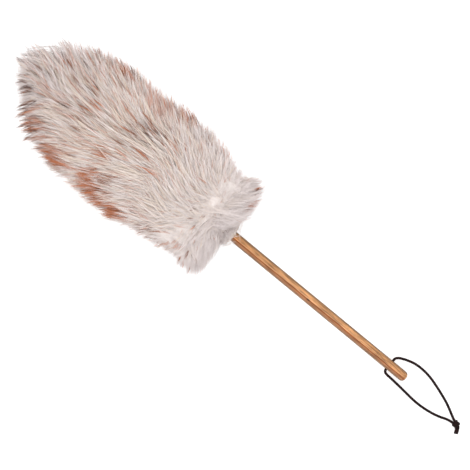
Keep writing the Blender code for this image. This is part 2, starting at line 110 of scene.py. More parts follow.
def feed(
    tree: bpy.types.NodeTree, node: bpy.types.Node, sockets: dict[str | int, object]
) -> None:
    """Gives a node's inputs what they get.

    Args:
        tree: The node's tree.
        node: The node.
        sockets: For each input, by name or number, its value or the output that feeds it.
    """
    for name, value in sockets.items():
        if isinstance(value, bpy.types.NodeSocket):
            tree.links.new(value, node.inputs[name])
        else:
            node.inputs[name].default_value = value


def add_node(
    tree: bpy.types.NodeTree,
    kind: str,
    sockets: dict[str | int, object] | None = None,
    **settings: object,
) -> bpy.types.Node:
    """Adds one node to a tree, with its settings and links.

    Args:
        tree: The node tree that gets the node.
        kind: The end of the node's type name, after ShaderNode.
        sockets: For each input, by name or number, its value or the output that feeds it.
        settings: The node's own settings by name.

    Returns:
        The new node.
    """
    node = tree.nodes.new(f"ShaderNode{kind}")
    for name, value in settings.items():
        setattr(node, name, value)
    feed(tree, node, sockets or {})
    return node


def set_stops(
    ramp: bpy.types.Node, stops: Sequence[tuple[float, Colour]], interpolation: str = "LINEAR"
) -> Socket:
    """Gives a ramp node its stops.

    Args:
        ramp: A colour ramp node.
        stops: Each stop's place and linear colour, in order.
        interpolation: How colours run from stop to stop.

    Returns:
        The ramp's colour output.
    """
    band = ramp.color_ramp
    band.interpolation = interpolation
    while len(band.elements) < len(stops):
        band.elements.new(1.0)
    for element, (place, colour) in zip(band.elements, stops):
        element.position = place
        element.color = colour
    return ramp.outputs["Color"]


def new_material(name: str) -> tuple[bpy.types.Material, bpy.types.NodeTree, bpy.types.Node]:
    """Makes an empty node material.

    Args:
        name: The material's name.

    Returns:
        The material, its tree and its Principled shader.
    """
    made = bpy.data.materials.new(name)
    made.use_nodes = True
    return made, made.node_tree, made.node_tree.nodes["Principled BSDF"]


def grain_of(
    tree: bpy.types.NodeTree,
    coordinates: Socket,
    size: float,
    stretch: float = 1.0,
    detail: float = 3.0,
) -> Socket:
    """Adds a noise pattern.

    Args:
        tree: The material's tree.
        coordinates: What places the pattern, in metres.
        size: The grain's size across, in metres.
        stretch: How many times longer the grain is along X.
        detail: How many finer layers the noise has.

    Returns:
        The noise's value output.
    """
    scale = (1 / (size * stretch), 1 / size, 1 / size)
    scaled = add_node(tree, "Mapping", {"Vector": coordinates, "Scale": scale})
    sockets = {"Vector": scaled.outputs[0], "Scale": 1.0, "Detail": detail, "Roughness": 0.55}
    return add_node(tree, "TexNoise", sockets).outputs["Fac"]


def bumped(tree: bpy.types.NodeTree, shader: bpy.types.Node, height: Socket, depth: float) -> None:
    """Lets a pattern raise a shader's surface.

    Args:
        tree: The material's tree.
        shader: The shader that gets the normal.
        height: The pattern, from 0 to 1.
        depth: The height of the relief, in metres.
    """
    bump = add_node(tree, "Bump", {"Height": height, "Distance": depth, "Strength": 1.0})
    tree.links.new(bump.outputs["Normal"], shader.inputs["Normal"])


def add_piece(
    name: str,
    data: bpy.types.Mesh | bpy.types.Curve,
    finish: bpy.types.Material,
    body: str,
    stands_for: str | None = None,
) -> bpy.types.Object:
    """Puts a mesh or curve into the scene as a piece of the duster.

    Args:
        name: The piece's name.
        data: Its mesh or curve, which holds its place.
        finish: Its material.
        body: The CAD body that it rides on.
        stands_for: The CAD node that it takes the place of.

    Returns:
        The piece.
    """
    data.materials.append(finish)
    made = bpy.data.objects.new(name, data)
    bpy.context.scene.collection.objects.link(made)
    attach(made, body)
    if stands_for:
        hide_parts(stands_for)
    return made


@dataclass(frozen=True)
class Shaft:
    """The line that the handle and the head share, read from the CAD frame.

    Its own coordinates run along the line from the shoulder to the tip, up, and across to +Y.
    """

    shoulder: np.ndarray
    tipward: np.ndarray
    side: np.ndarray
    up: np.ndarray

    @classmethod
    def from_frame(cls) -> "Shaft":
        """Reads the line from the middles of the rod and the handle."""
        nodes = ("head_core", "handle")
        rod, handle = (np.array(sum(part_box(node), Vector())) / 2 for node in nodes)
        tipward = (rod - handle) / np.linalg.norm(rod - handle)
        side = np.array((0.0, 1.0, 0.0))
        side -= tipward * (side @ tipward)
        side /= np.linalg.norm(side)
        points = np.array([vertex.co for vertex in frame["nodes"]["handle"].data.vertices])
        reach = ((points - handle) @ tipward).max()
        return cls(handle + tipward * reach, tipward, side, np.cross(side, tipward))

    @property
    def axes(self) -> np.ndarray:
        """The three directions as rows."""
        return np.stack([self.tipward, self.up, self.side])

    @property
    def tilt(self) -> float:
        """How far the head rises from the handle, in radians."""
        return math.asin(self.tipward[2])

    def to_world(self, points: np.ndarray) -> np.ndarray:
        """Turns points from the shaft's coordinates into the row frame's."""
        return points @ self.axes + self.shoulder

    def coordinates(self, tree: bpy.types.NodeTree) -> Socket:
        """Adds nodes that give a surface's place, with X along the shaft to the butt.

        Args:
            tree: The material's tree.

        Returns:
            The output that gives the place, in metres.
        """
        place = add_node(tree, "TexCoord").outputs["Object"]
        turn = (0.0, self.tilt, 0.0)
        sockets = {"Vector": place, "Location": tuple(self.shoulder), "Rotation": turn}
        return add_node(tree, "Mapping", sockets, vector_type="TEXTURE").outputs[0]


class Tint(Enum):
    """How the outer end of a strand is coloured. The value is its column on the tint map."""

    WHITE = 0
    CREAM = 1
    BLUSH = 2
    RUST = 3
    UMBER = 4
    SOOT = 5


@dataclass(frozen=True)
class BeechLacquered:
    """Turned beech under thin lacquer: a red-brown side that is partly painted shade, a tan side
    with a painted highlight, rims with painted shade, fine streaks and flecks.
    """

    name: str = "beech_turned_lacquered"
    sapwood: str = "BD885B"
    golden: str = "CD9564"
    # Painted highlight: a bright band beside the edge that stands for the lacquer's shine
    painted_highlight: str = "EAB080"
    # The red-brown side and its dark line are the wood's two tones, and also painted shade and the
    # painted edge of the lamp's reflection along the dowel
    heartwood_and_shade: str = "A87452"
    line: str = "965528"
    # Painted shade: the rims are darker where the round sides turn from the lamp
    rim: str = "8E6E52"
    far_rim_shade: str = "745639"
    pores: str = "6E4326"
    scar: str = "24120A"
    # The middle of the edge between the two tones across the shaft, how far it wanders, and the
    # widths of what lies along it: the painted highlight on the tan side, the dark line and the
    # red-brown side
    heart_edge: float = -1.0 * MM
    wander: float = 2.0 * MM
    highlight_width: float = 1.3 * MM
    line_softness: float = 0.3 * MM
    line_core: float = 1.0 * MM
    line_width: float = 2.2 * MM
    # How far across the rims' painted shade starts and is full, to -Y and to +Y: the dowel's sides
    # darkened where they turn from the light
    rim_shade_reaches: Outline = ((-4.0 * MM, -5.4 * MM), (3.7 * MM, 5.7 * MM))
    # Its grains: each one's size across, how many times longer it is along X, and its layers
    edge_grain: Grain = (5 * MM, 12.0, 3.0)
    patch_grain: Grain = (2.5 * MM, 7.0, 1.0)
    ring_grain: Grain = (1.3 * MM, 16.0, 2.0)
    vessel_grain: Grain = (0.5 * MM, 30.0, 3.0)
    fleck_grain: Grain = (0.45 * MM, 8.0, 1.0)
    # Where on their grains golden patches and flecks start and are full
    patch_stops: tuple[float, float] = (0.45, 0.62)
    fleck_stops: tuple[float, float] = (0.6, 0.74)
    relief: float = 0.04 * MM
    # Where a small dark scar lies: along the shaft from the shoulder, across it and up
    scar_place: tuple[float, float, float] = (116 * MM, -1.7 * MM, 6.2 * MM)
    scar_size: tuple[float, float, float] = (3.4 * MM, 1.2 * MM, 2.5 * MM)

    def blend(
        self, tree: bpy.types.NodeTree, factor: Socket, first: Socket | Colour, second: str
    ) -> Socket:
        """Mixes a second colour, in hex digits, into a first one."""
        sockets = {"Factor": factor, "A": first, "B": linear(second)}
        return add_node(tree, "Mix", sockets, data_type="RGBA").outputs["Result"]

    def band(
        self, tree: bpy.types.NodeTree, value: Socket, low: float, high: float, most: float = 1.0
    ) -> Socket:
        """Adds a soft step that rises to its most from low to high, either way round."""
        sockets = {"Value": value, "From Min": low, "From Max": high, "To Max": most}
        return add_node(tree, "MapRange", sockets, interpolation_type="SMOOTHSTEP").outputs[0]

    def make(self, shaft: Shaft) -> bpy.types.Material:
        """Makes the material.

        Args:
            shaft: The line that its grain runs along.

        Returns:
            The material.
        """
        made, tree, shader = new_material(self.name)
        place = shaft.coordinates(tree)
        across = add_node(tree, "SeparateXYZ", {0: place}).outputs["Y"]
        sockets = {0: grain_of(tree, place, *self.edge_grain), 1: self.wander, 2: across}
        moved = add_node(tree, "Math", sockets, operation="MULTIPLY_ADD").outputs[0]
        # Half of the wander is what it adds on average
        edge = self.heart_edge + self.wander / 2
        soft, core = self.line_softness, self.line_core
        patchy = grain_of(tree, place, *self.patch_grain)
        shades = [
            (self.band(tree, patchy, *self.patch_stops), self.golden),
            # A painted highlight beside the edge, in place of the lacquer's own shine
            (self.band(tree, moved, edge + self.highlight_width, edge, 0.85), self.painted_highlight),
            # The dark line and the red-brown side: two tones of the wood that also paint the shaded
            # side and the reflection's edge
            (self.band(tree, moved, edge + soft, edge - soft), self.line),
            (self.band(tree, moved, edge - core, edge - self.line_width), self.heartwood_and_shade),
        ]
        # Painted shade darkens both rims of the dowel
        for reach, rim in zip(self.rim_shade_reaches, (self.rim, self.far_rim_shade)):
            shades.append((self.band(tree, across, *reach, 0.9), rim))
        colour = linear(self.sapwood)
        for factor, shade in shades:
            colour = self.blend(tree, factor, colour, shade)
        # Growth rings and vessels of a straight-grained dowel run along it as streaks
        fine = grain_of(tree, place, *self.vessel_grain)
        sockets = {0: grain_of(tree, place, *self.ring_grain), 1: fine}
        both = add_node(tree, "Math", sockets, operation="ADD").outputs[0]
        reach = {"From Min": 0.78, "From Max": 1.22, "To Min": 0.48, "To Max": 1.5}
        streaks = add_node(tree, "MapRange", {"Value": both, **reach}).outputs[0]
        colour = add_node(tree, "HueSaturation", {"Color": colour, "Value": streaks}).outputs[0]
        # Beech's rays show as short dark flecks along the grain
        specks = grain_of(tree, place, *self.fleck_grain)
        flecks = self.band(tree, specks, *self.fleck_stops, 0.6)
        colour = self.blend(tree, flecks, colour, self.pores)
        sockets = {"Vector": place, "Location": self.scar_place, "Scale": self.scar_size}
        near = add_node(tree, "Mapping", sockets, vector_type="TEXTURE").outputs[0]
        far = add_node(tree, "VectorMath", {0: near}, operation="LENGTH").outputs["Value"]
        colour = self.blend(tree, self.band(tree, far, 1.0, 0.5), colour, self.scar)
        gloss = {"Roughness": 0.5, "Specular IOR Level": 0.25}
        lacquer = {"Coat Weight": 0.05, "Coat Roughness": 0.25}
        feed(tree, shader, {"Base Color": colour, **gloss, **lacquer})
        bumped(tree, shader, fine, self.relief)
        return made


@dataclass(frozen=True)
class Grained:
    """A matt finish whose one grain runs from a dark to a pale colour and raises the surface."""

    name: str
    dark: str
    pale: str
    # Where on the grain the colours are reached
    stops: tuple[float, float]
    # The grain's size across, how many times longer it is along X, and its layers
    grain: Grain
    relief: float
    roughness: float
    sheen: float = 0.0

    def make(self, shaft: Shaft | None = None) -> bpy.types.Material:
        """Makes the material.

        Args:
            shaft: The line that the grain runs along, where it has a direction.

        Returns:
            The material.
        """
        made, tree, shader = new_material(self.name)
        place = shaft.coordinates(tree) if shaft else add_node(tree, "TexCoord").outputs["Object"]
        grain = grain_of(tree, place, *self.grain)
        stops = list(zip(self.stops, (linear(self.dark), linear(self.pale))))
        colour = set_stops(add_node(tree, "ValToRGB", {"Fac": grain}), stops)
        gloss = {"Roughness": self.roughness, "Sheen Weight": self.sheen}
        feed(tree, shader, {"Base Color": colour, **gloss})
        bumped(tree, shader, grain, self.relief)
        return made


@dataclass(frozen=True)
class BirchSanded(Grained):
    """Bare sanded birch: pale, matt, with faint long streaks."""

    name: str = "birch_sanded"
    dark: str = "C6A472"
    pale: str = "E0C79C"
    stops: tuple[float, float] = (0.35, 0.7)
    grain: Grain = (0.6 * MM, 40.0, 3.0)
    relief: float = 0.05 * MM
    roughness: float = 0.75


@dataclass(frozen=True)
class LambskinTanned(Grained):
    """The flesh side of tanned lambskin: cream suede with a soft uneven nap."""

    name: str = "lambskin_alum_tanned"
    dark: str = "D3C0A4"
    pale: str = "EFE4D2"
    stops: tuple[float, float] = (0.3, 0.7)
    grain: Grain = (0.7 * MM, 1.0, 5.0)
    relief: float = 0.15 * MM
    roughness: float = 0.9
    sheen: float = 0.3


@dataclass(frozen=True)
class SteelBlued:
    """Blued tack steel: dark, half gloss, with faint hammer and tumbling marks."""

    name: str = "steel_blued_tumbled"
    colour: str = "4A4E57"
    marks: Grain = (0.4 * MM, 1.0, 4.0)
    relief: float = 0.02 * MM

    def make(self) -> bpy.types.Material:
        """Makes the material."""
        made, tree, shader = new_material(self.name)
        place = add_node(tree, "TexCoord").outputs["Object"]
        marks = grain_of(tree, place, *self.marks)
        gloss = add_node(tree, "MapRange", {"Value": marks, "To Min": 0.25, "To Max": 0.5})
        colour = linear(self.colour)
        sockets = {"Base Color": colour, "Metallic": 1.0, "Roughness": gloss.outputs[0]}
        feed(tree, shader, sockets)
        bumped(tree, shader, marks, self.relief)
        return made


@dataclass(frozen=True)
class LeatherWaxed:
    """Round-cut leather thong, dyed dark brown and waxed: pressed grain, red in its creases."""

    name: str = "leather_round_waxed"
    dark: str = "120707"
    worn: str = "2C1212"
    # Where the grain and the wear together are dark and worn
    stops: tuple[float, float] = (0.16, 0.4)
    grain: Grain = (0.5 * MM, 1.0, 4.0)
    wear: Grain = (5 * MM, 1.0, 2.0)
    relief: float = 0.12 * MM

    def make(self) -> bpy.types.Material:
        """Makes the material."""
        made, tree, shader = new_material(self.name)
        place = add_node(tree, "TexCoord").outputs["Object"]
        grain = grain_of(tree, place, *self.grain)
        wear = grain_of(tree, place, *self.wear)
        both = add_node(tree, "Math", {0: grain, 1: wear}, operation="MULTIPLY")
        stops = list(zip(self.stops, (linear(self.dark), linear(self.worn))))
        colour = set_stops(add_node(tree, "ValToRGB", {"Fac": both.outputs[0]}), stops)
        gloss = {"Roughness": 0.6, "Specular IOR Level": 0.12}
        feed(tree, shader, {"Base Color": colour, **gloss})
        bumped(tree, shader, grain, self.relief)
        return made


@dataclass(frozen=True)
class WoolStrands:
    """Combed natural lambswool: white outside with dyed tips, darker toward the skin by painted
    shade deep in the pile.

    Its map holds the tint across, with each strand's own shade inside the tint's column, and the
    place along the strand up.
    """

    name: str = "lambswool_combed_tipped"
    map_name: str = "OFBake"
    # Painted shade: the colours darken from outside to root, for the shade deep in the pile
    root: str = "F5E5DB"
    middle: str = "FBEEE8"
    outside: str = "FFF3F1"
    # Where along a strand those three are reached
    stops: tuple[float, float, float] = (0.05, 0.5, 0.9)
    # For each tint its colour, and where along a strand it starts
    tips: tuple[tuple[Tint, str, float], ...] = (
        (Tint.WHITE, "FFF6F5", 0.9),
        (Tint.CREAM, "F7E5D6", 0.2),
        (Tint.BLUSH, "DFB3A2", 0.45),
        (Tint.RUST, "CB7F5B", 0.45),
        (Tint.UMBER, "95624C", 0.45),
        (Tint.SOOT, "5E4035", 0.5),
    )
    blend: float = 0.25
    lightest: float = 1.0
    darkest: float = 0.9

    def make(self) -> bpy.types.Material:
        """Makes the material."""
        made, tree, shader = new_material(self.name)
        place = add_node(tree, "UVMap", uv_map=self.map_name).outputs[0]
        parts = add_node(tree, "SeparateXYZ", {0: place}).outputs
        column, along = parts["X"], parts["Y"]
        colours = [linear(colour) for colour in (self.root, self.middle, self.outside)]
        stops = list(zip(self.stops, colours))
        base = set_stops(add_node(tree, "ValToRGB", {"Fac": along}), stops)
        tints, starts = [], []
        for tint, colour, start in self.tips:
            left = tint.value / len(Tint)
            tints.append((left, linear(colour)))
            starts.append((left, (start, start, start, 1.0)))
        tint, start = (
            set_stops(add_node(tree, "ValToRGB", {"Fac": column}), steps, "CONSTANT")
            for steps in (tints, starts)
        )
        full = add_node(tree, "Math", {0: start, 1: self.blend}, operation="ADD").outputs[0]
        sockets = {"Value": along, "From Min": start, "From Max": full}
        dyed = add_node(tree, "MapRange", sockets, interpolation_type="SMOOTHSTEP").outputs[0]
        sockets = {"Factor": dyed, "A": base, "B": tint}
        mixed = add_node(tree, "Mix", sockets, data_type="RGBA").outputs["Result"]
        sockets = {0: column, 1: float(len(Tint))}
        columns = add_node(tree, "Math", sockets, operation="MULTIPLY").outputs[0]
        own = add_node(tree, "Math", {0: columns}, operation="FRACT").outputs[0]
        sockets = {"Value": own, "To Min": self.darkest, "To Max": self.lightest}
        shade = add_node(tree, "MapRange", sockets).outputs[0]
        toned = add_node(tree, "HueSaturation", {"Color": mixed, "Value": shade}).outputs[0]
        gloss = {"Roughness": 0.75, "Specular IOR Level": 0.25}
        feed(tree, shader, {"Base Color": toned, **gloss})
        return made


@dataclass(frozen=True)
class WoolUnder(Grained):
    """The close wool near the skin, a dim ground between the strands with its crimp across."""

    name: str = "lambswool_close_crimped"
    dark: str = "E3D7D1"
    pale: str = "F6EDE9"
    stops: tuple[float, float] = (0.3, 0.7)
    grain: Grain = (0.8 * MM, 7.0, 5.0)
    relief: float = 0.6 * MM
    roughness: float = 0.95


@dataclass(frozen=True)
class Patch:
    """A patch of coloured tips on the pile.

    Its place and half size run along the shaft from the shoulder, in millimetres, and round it
    from the top to +Y, in degrees.
    """

    along: float
    turn: float
    long: float
    wide: float
    tint: Tint
    strength: float = 1.0
    # The higher, the sooner the patch ends past its half size
    edge_power: float = 1.5

    def strength_at(self, along: np.ndarray, turn: np.ndarray) -> np.ndarray:
        """How strong the patch is at places along the shaft and round it.

        Args:
            along: Places along the shaft, in metres.
            turn: Places round it, in radians.

        Returns:
            The strength at each place, as a share.
        """
        off = (turn - math.radians(self.turn) + math.pi) % (2 * math.pi) - math.pi
        far = ((along - self.along * MM) / (self.long * MM)) ** 2
        far += (off / math.radians(self.wide)) ** 2
        return self.strength * np.exp(-(far**self.edge_power))


def ramp(values: np.ndarray, start: float, end: float) -> np.ndarray:
    """How far values are on their way from start to end, from 0 to 1."""
    return np.clip((values - start) / (end - start), 0, 1)


def unit(rows: np.ndarray) -> np.ndarray:
    """Rows as directions of length one."""
    return rows / np.maximum(np.linalg.norm(rows, axis=1), MERGE_DISTANCE)[:, None]


def waves(along: np.ndarray, turn: np.ndarray, size: float, seed: int) -> np.ndarray:
    """A smooth random field over the plume.

    Args:
        along: Places along the shaft, in metres.
        turn: Places round it, in radians.
        size: The usual distance between crests, in metres.
        seed: Which field it is.

    Returns:
        The field's values, mostly between -1 and 1.
    """
    chance = np.random.default_rng(seed)
    total = np.zeros(len(along))
    for _ in range(WAVES):
        pace = 2 * math.pi / (size * chance.uniform(*CREST_SHARES))
        winds = chance.integers(-MOST_WINDS, MOST_WINDS + 1)
        total += np.sin(pace * along + winds * turn + chance.uniform(0, 2 * math.pi))
    return total / WAVES**0.5


class Grown(NamedTuple):
    """Many copies of a shape: corners, the ways that they face, triangles and places on the map."""

    points: np.ndarray
    normals: np.ndarray
    triangles: np.ndarray
    places: np.ndarray

    def mesh(self, name: str, map_name: str) -> bpy.types.Mesh:
        """Puts the copies into one mesh.

        Args:
            name: The mesh's name.
            map_name: The map's name.

        Returns:
            The mesh, shaded smooth.
        """
        mesh = bpy.data.meshes.new(name)
        mesh.vertices.add(len(self.points))
        mesh.vertices.foreach_set("co", self.points.astype(np.float32).ravel())
        mesh.loops.add(self.triangles.size)
        mesh.loops.foreach_set("vertex_index", self.triangles.astype(np.int32).ravel())
        mesh.polygons.add(len(self.triangles))
        starts = np.arange(0, self.triangles.size, 3, dtype=np.int32)
        mesh.polygons.foreach_set("loop_start", starts)
        mesh.polygons.foreach_set("use_smooth", np.ones(len(self.triangles), bool))
        mesh.update(calc_edges=True)
        layer = mesh.uv_layers.new(name=map_name, do_init=False)
        places = self.places[self.triangles.ravel()]
        layer.uv.foreach_set("vector", places.astype(np.float32).ravel())
        mesh.normals_split_custom_set_from_vertices(self.normals.astype(np.float32))
        return mesh


@dataclass(frozen=True)
class StrandShape:
    """One strand of wool as a unit shape: a thin three-sided taper from 0 to 1 along Z."""

    corners: np.ndarray
    triangles: np.ndarray
    sides: np.ndarray

    @classmethod
    def cut(cls, cuts: Sequence[float], widths: Outline) -> "StrandShape":
        """Makes the shape from a cone that is cut into rings.

        Args:
            cuts: Where rings are cut, as shares of the length.
            widths: The half width at places along the strand, as shares.

        Returns:
            The shape.
        """
        bm = bmesh.new()
        # Turned so that one side, not an edge, faces out from the plume
        lift = Matrix.Translation((0.0, 0.0, 0.5)) @ Matrix.Rotation(math.radians(-30), 4, "Z")
        bmesh.ops.create_cone(
            bm, cap_ends=True, segments=3, radius1=1.0, radius2=0.0, depth=1.0, matrix=lift
        )
        for height in cuts:
            bmesh.ops.bisect_plane(
                bm,
                geom=[*bm.verts, *bm.edges, *bm.faces],
                dist=MERGE_DISTANCE,
                plane_co=(0.0, 0.0, height),
                plane_no=(0.0, 0.0, 1.0),
            )
        bmesh.ops.triangulate(bm, faces=bm.faces)
        bm.verts.ensure_lookup_table()
        corners = np.array([vertex.co for vertex in bm.verts])
        triangles = np.array([[v.index for v in face.verts] for face in bm.faces])
        bm.free()
        out = np.hypot(corners[:, 0], corners[:, 1])
        turn = np.arctan2(corners[:, 1], corners[:, 0])
        sides = np.where(out > MERGE_DISTANCE, np.round(turn / (2 * math.pi / 3) - 0.5), 0.0)
        wanted = np.interp(corners[:, 2], *zip(*widths))
        corners[:, :2] *= (wanted / np.maximum(out, MERGE_DISTANCE))[:, None]
        return cls(corners, triangles, sides)


@dataclass(frozen=True)
class Facing:
    """How much of each direction goes into the way that strands face.

    Wool passes light on from strand to strand. So strands face less as their own round sides do
    than as the plume does, and a little upward.
    """

    across: float = 0.4
    plume: float = 1.2
    up: float = 0.9
    own: float = 0.35
    # Along the plume as a share, and how far its own direction turns to the tip
    tipward: Outline = ((0.0, -1.2), (0.14, 0.0), (0.8, 0.0), (1.0, 0.8))


@dataclass
class Strands:
    """Many strands in the shaft's coordinates: where each ends, how it runs and how it looks."""

    tips: np.ndarray
    start_ways: np.ndarray
    end_ways: np.ndarray
    lengths: np.ndarray
    spreads: np.ndarray
    half_widths: np.ndarray
    tints: np.ndarray
    shades: np.ndarray
    crimps: np.ndarray

    def chosen(self, which: np.ndarray) -> "Strands":
        """The strands that a mask or a list of numbers picks."""
        return Strands(**{name: values[which] for name, values in vars(self).items()})

    def at(self, share: float) -> tuple[np.ndarray, np.ndarray]:
        """Works out where strands are and how they run at one share of their lengths.

        Args:
            share: The share, from 0 at the root to 1 at the tip.

        Returns:
            Each strand's place and its direction.
        """
        left = 1 - share
        ways = self.start_ways * left + self.end_ways * share
        ways /= np.linalg.norm(ways, axis=1)[:, None]
        back = self.start_ways * (left**2 / 2) + self.end_ways * ((1 - share**2) / 2)
        places = self.tips - back * self.lengths[:, None] + self.spreads * left
        swing = np.sin(self.crimps[:, 0] + share * self.crimps[:, 1]) * self.crimps[:, 2]
        aside = np.cross(ways, self.spreads)
        aside /= np.maximum(np.linalg.norm(aside, axis=1), MERGE_DISTANCE**2)[:, None]
        return places + aside * (swing * share)[:, None], ways

    def grown(self, shape: StrandShape, length: float, facing: Facing = Facing()) -> Grown:
        """Puts a copy of the shape along each strand.

        Args:
            shape: The unit strand.
            length: The plume's length, in metres.
            facing: How the copies face.

        Returns:
            The copies in the shaft's coordinates.
        """
        count, corners = len(self.tips), len(shape.corners)
        points, normals = np.empty((count, corners, 3)), np.empty((count, corners, 3))
        for height in np.unique(shape.corners[:, 2].round(4)):
            places, ways = self.at(float(height))
            plume = unit(places * (0.0, 1.0, 1.0))
            plume[:, 0] = np.interp(places[:, 0] / length, *zip(*facing.tipward))
            upward = plume + (0.0, 1.0, 0.0)
            first = unit(upward - ways * (upward * ways).sum(1)[:, None])
            second = np.cross(ways, first)
            shared = facing.across * first + facing.plume * plume + (0.0, facing.up, 0.0)
            for k in np.flatnonzero(abs(shape.corners[:, 2] - height) < 0.001):
                out = first * shape.corners[k, 0] + second * shape.corners[k, 1]
                points[:, k] = places + out * self.half_widths[:, None]
                normals[:, k] = unit(shared + facing.own * out)
        triangles = shape.triangles[None] + (np.arange(count) * corners)[:, None, None]
        inside = COLUMN_MARGIN + (1 - 2 * COLUMN_MARGIN) * self.shades
        across = ((self.tints + inside) / len(Tint))[:, None] + shape.sides * SIDE_STEP
        up = MAP_MARGIN + (1 - 2 * MAP_MARGIN) * shape.corners[:, 2]
        places = np.stack([across, np.broadcast_to(up, across.shape)], 2)
        rows = (points.reshape(-1, 3), normals.reshape(-1, 3), triangles.reshape(-1, 3))
        return Grown(*rows, places.reshape(-1, 2))


@dataclass(frozen=True)
class Gathering:
    """How strands are gathered into tufts."""

    strands: int
    radius: float
    half_width: float
    # How far strands draw together at a tuft's end, as a share, at the least and the most
    drawn: tuple[float, float]
    # How many strands are loose, and how far strands stray and fall short, all as shares
    loose: float
    stray: float
    short: float
    crimp: float = 0.6 * MM
    crimp_turns: tuple[float, float] = (2.0, 7.0)
    # Loose strands stray and stand off this many times as far, and hardly draw together
    loose_stray: float = 2.5
    loose_reach: float = 1.4
    loose_drawn: float = 0.1
    # The higher, the fewer strands fall far short
    short_power: float = 1.6
    # How much of a strand's stray its root has
    root_stray: float = 0.4
    width_shares: tuple[float, float] = (0.7, 1.25)
    shade_spread: float = 0.2


@dataclass(frozen=True)
class Lay:
    """How tufts of one kind lie, in degrees.

    They stray from the combed way by rough, lie flatter than it, and curl outward by hook at the
    tip on the -Y side.
    """

    rough: float
    flatter: float = 0.0
    hook: float = 0.0


class Swell(NamedTuple):
    """A random field over the plume: its height, its size in metres and its number."""

    height: float
    size: float
    number: int


@dataclass
class Tufts:
    """Where tufts end and how they run, in the shaft's coordinates."""

    tips: np.ndarray
    start_ways: np.ndarray
    end_ways: np.ndarray
    lengths: np.ndarray

    def gathered(
        self, how: Gathering, tints: np.ndarray, shades: np.ndarray, chance: np.random.Generator
    ) -> Strands:
        """Fills the tufts with strands.

        Args:
            how: How strands are gathered.
            tints: Each strand's tint, tuft by tuft.
            shades: Each tuft's shade, from 0 to 1.
            chance: The source of chance.

        Returns:
            The strands.
        """
        which = np.repeat(np.arange(len(self.tips)), how.strands)
        count = len(which)
        loose = chance.random(count) < how.loose
        strays = chance.normal(0, how.stray, (count, 3))
        strays *= np.where(loose, how.loose_stray, 1.0)[:, None]
        end_ways = self.end_ways[which] + strays
        # Any direction that no strand runs in serves to find two across it
        first = np.cross(end_ways, (0.2, 0.5, 0.84))
        first /= np.linalg.norm(first, axis=1)[:, None]
        second = np.cross(end_ways, first)
        spin = chance.uniform(0, 2 * math.pi, count)
        reach = how.radius * np.sqrt(chance.random(count)) * np.where(loose, how.loose_reach, 1.0)
        offsets = (first * np.cos(spin)[:, None] + second * np.sin(spin)[:, None]) * reach[:, None]
        drawn = np.where(loose, how.loose_drawn, chance.uniform(*how.drawn, count))[:, None]
        lengths = self.lengths[which]
        # Half of what a strand falls short by comes off its length, and its root takes the rest
        short = lengths * how.short * chance.random(count) ** how.short_power
        crimps = [
            chance.uniform(0, 2 * math.pi, count),
            chance.uniform(*how.crimp_turns, count),
            np.abs(chance.normal(0, how.crimp, count)),
        ]
        return Strands(
            tips=self.tips[which] + offsets * (1 - drawn) - end_ways * short[:, None],
            start_ways=self.start_ways[which] + strays * how.root_stray,
            end_ways=end_ways,
            lengths=lengths - short / 2,
            spreads=offsets * drawn,
            half_widths=how.half_width * chance.uniform(*how.width_shares, count),
            tints=tints,
            shades=np.clip(shades[which] + chance.normal(0, how.shade_spread, count), 0, 1),
            crimps=np.stack(crimps, 1),
        )


@dataclass(frozen=True)
class Growth:
    """One kind of tufts: how many, how they lie and how their strands are gathered."""

    count: int
    lay: Lay
    gathering: Gathering
    # What is added to the plume's seed, and how many places are drawn for each that is picked
    seed: int
    tries: int = 1
    # How far out tufts reach and how long they are, as shares of the outline and of combed tufts
    reach: tuple[float, float] = (1.0, 1.0)
    lengths: tuple[float, float] = (1.0, 1.0)
    # The least and the most shade of a tuft
    shades: tuple[float, float] = (0.0, 1.0)


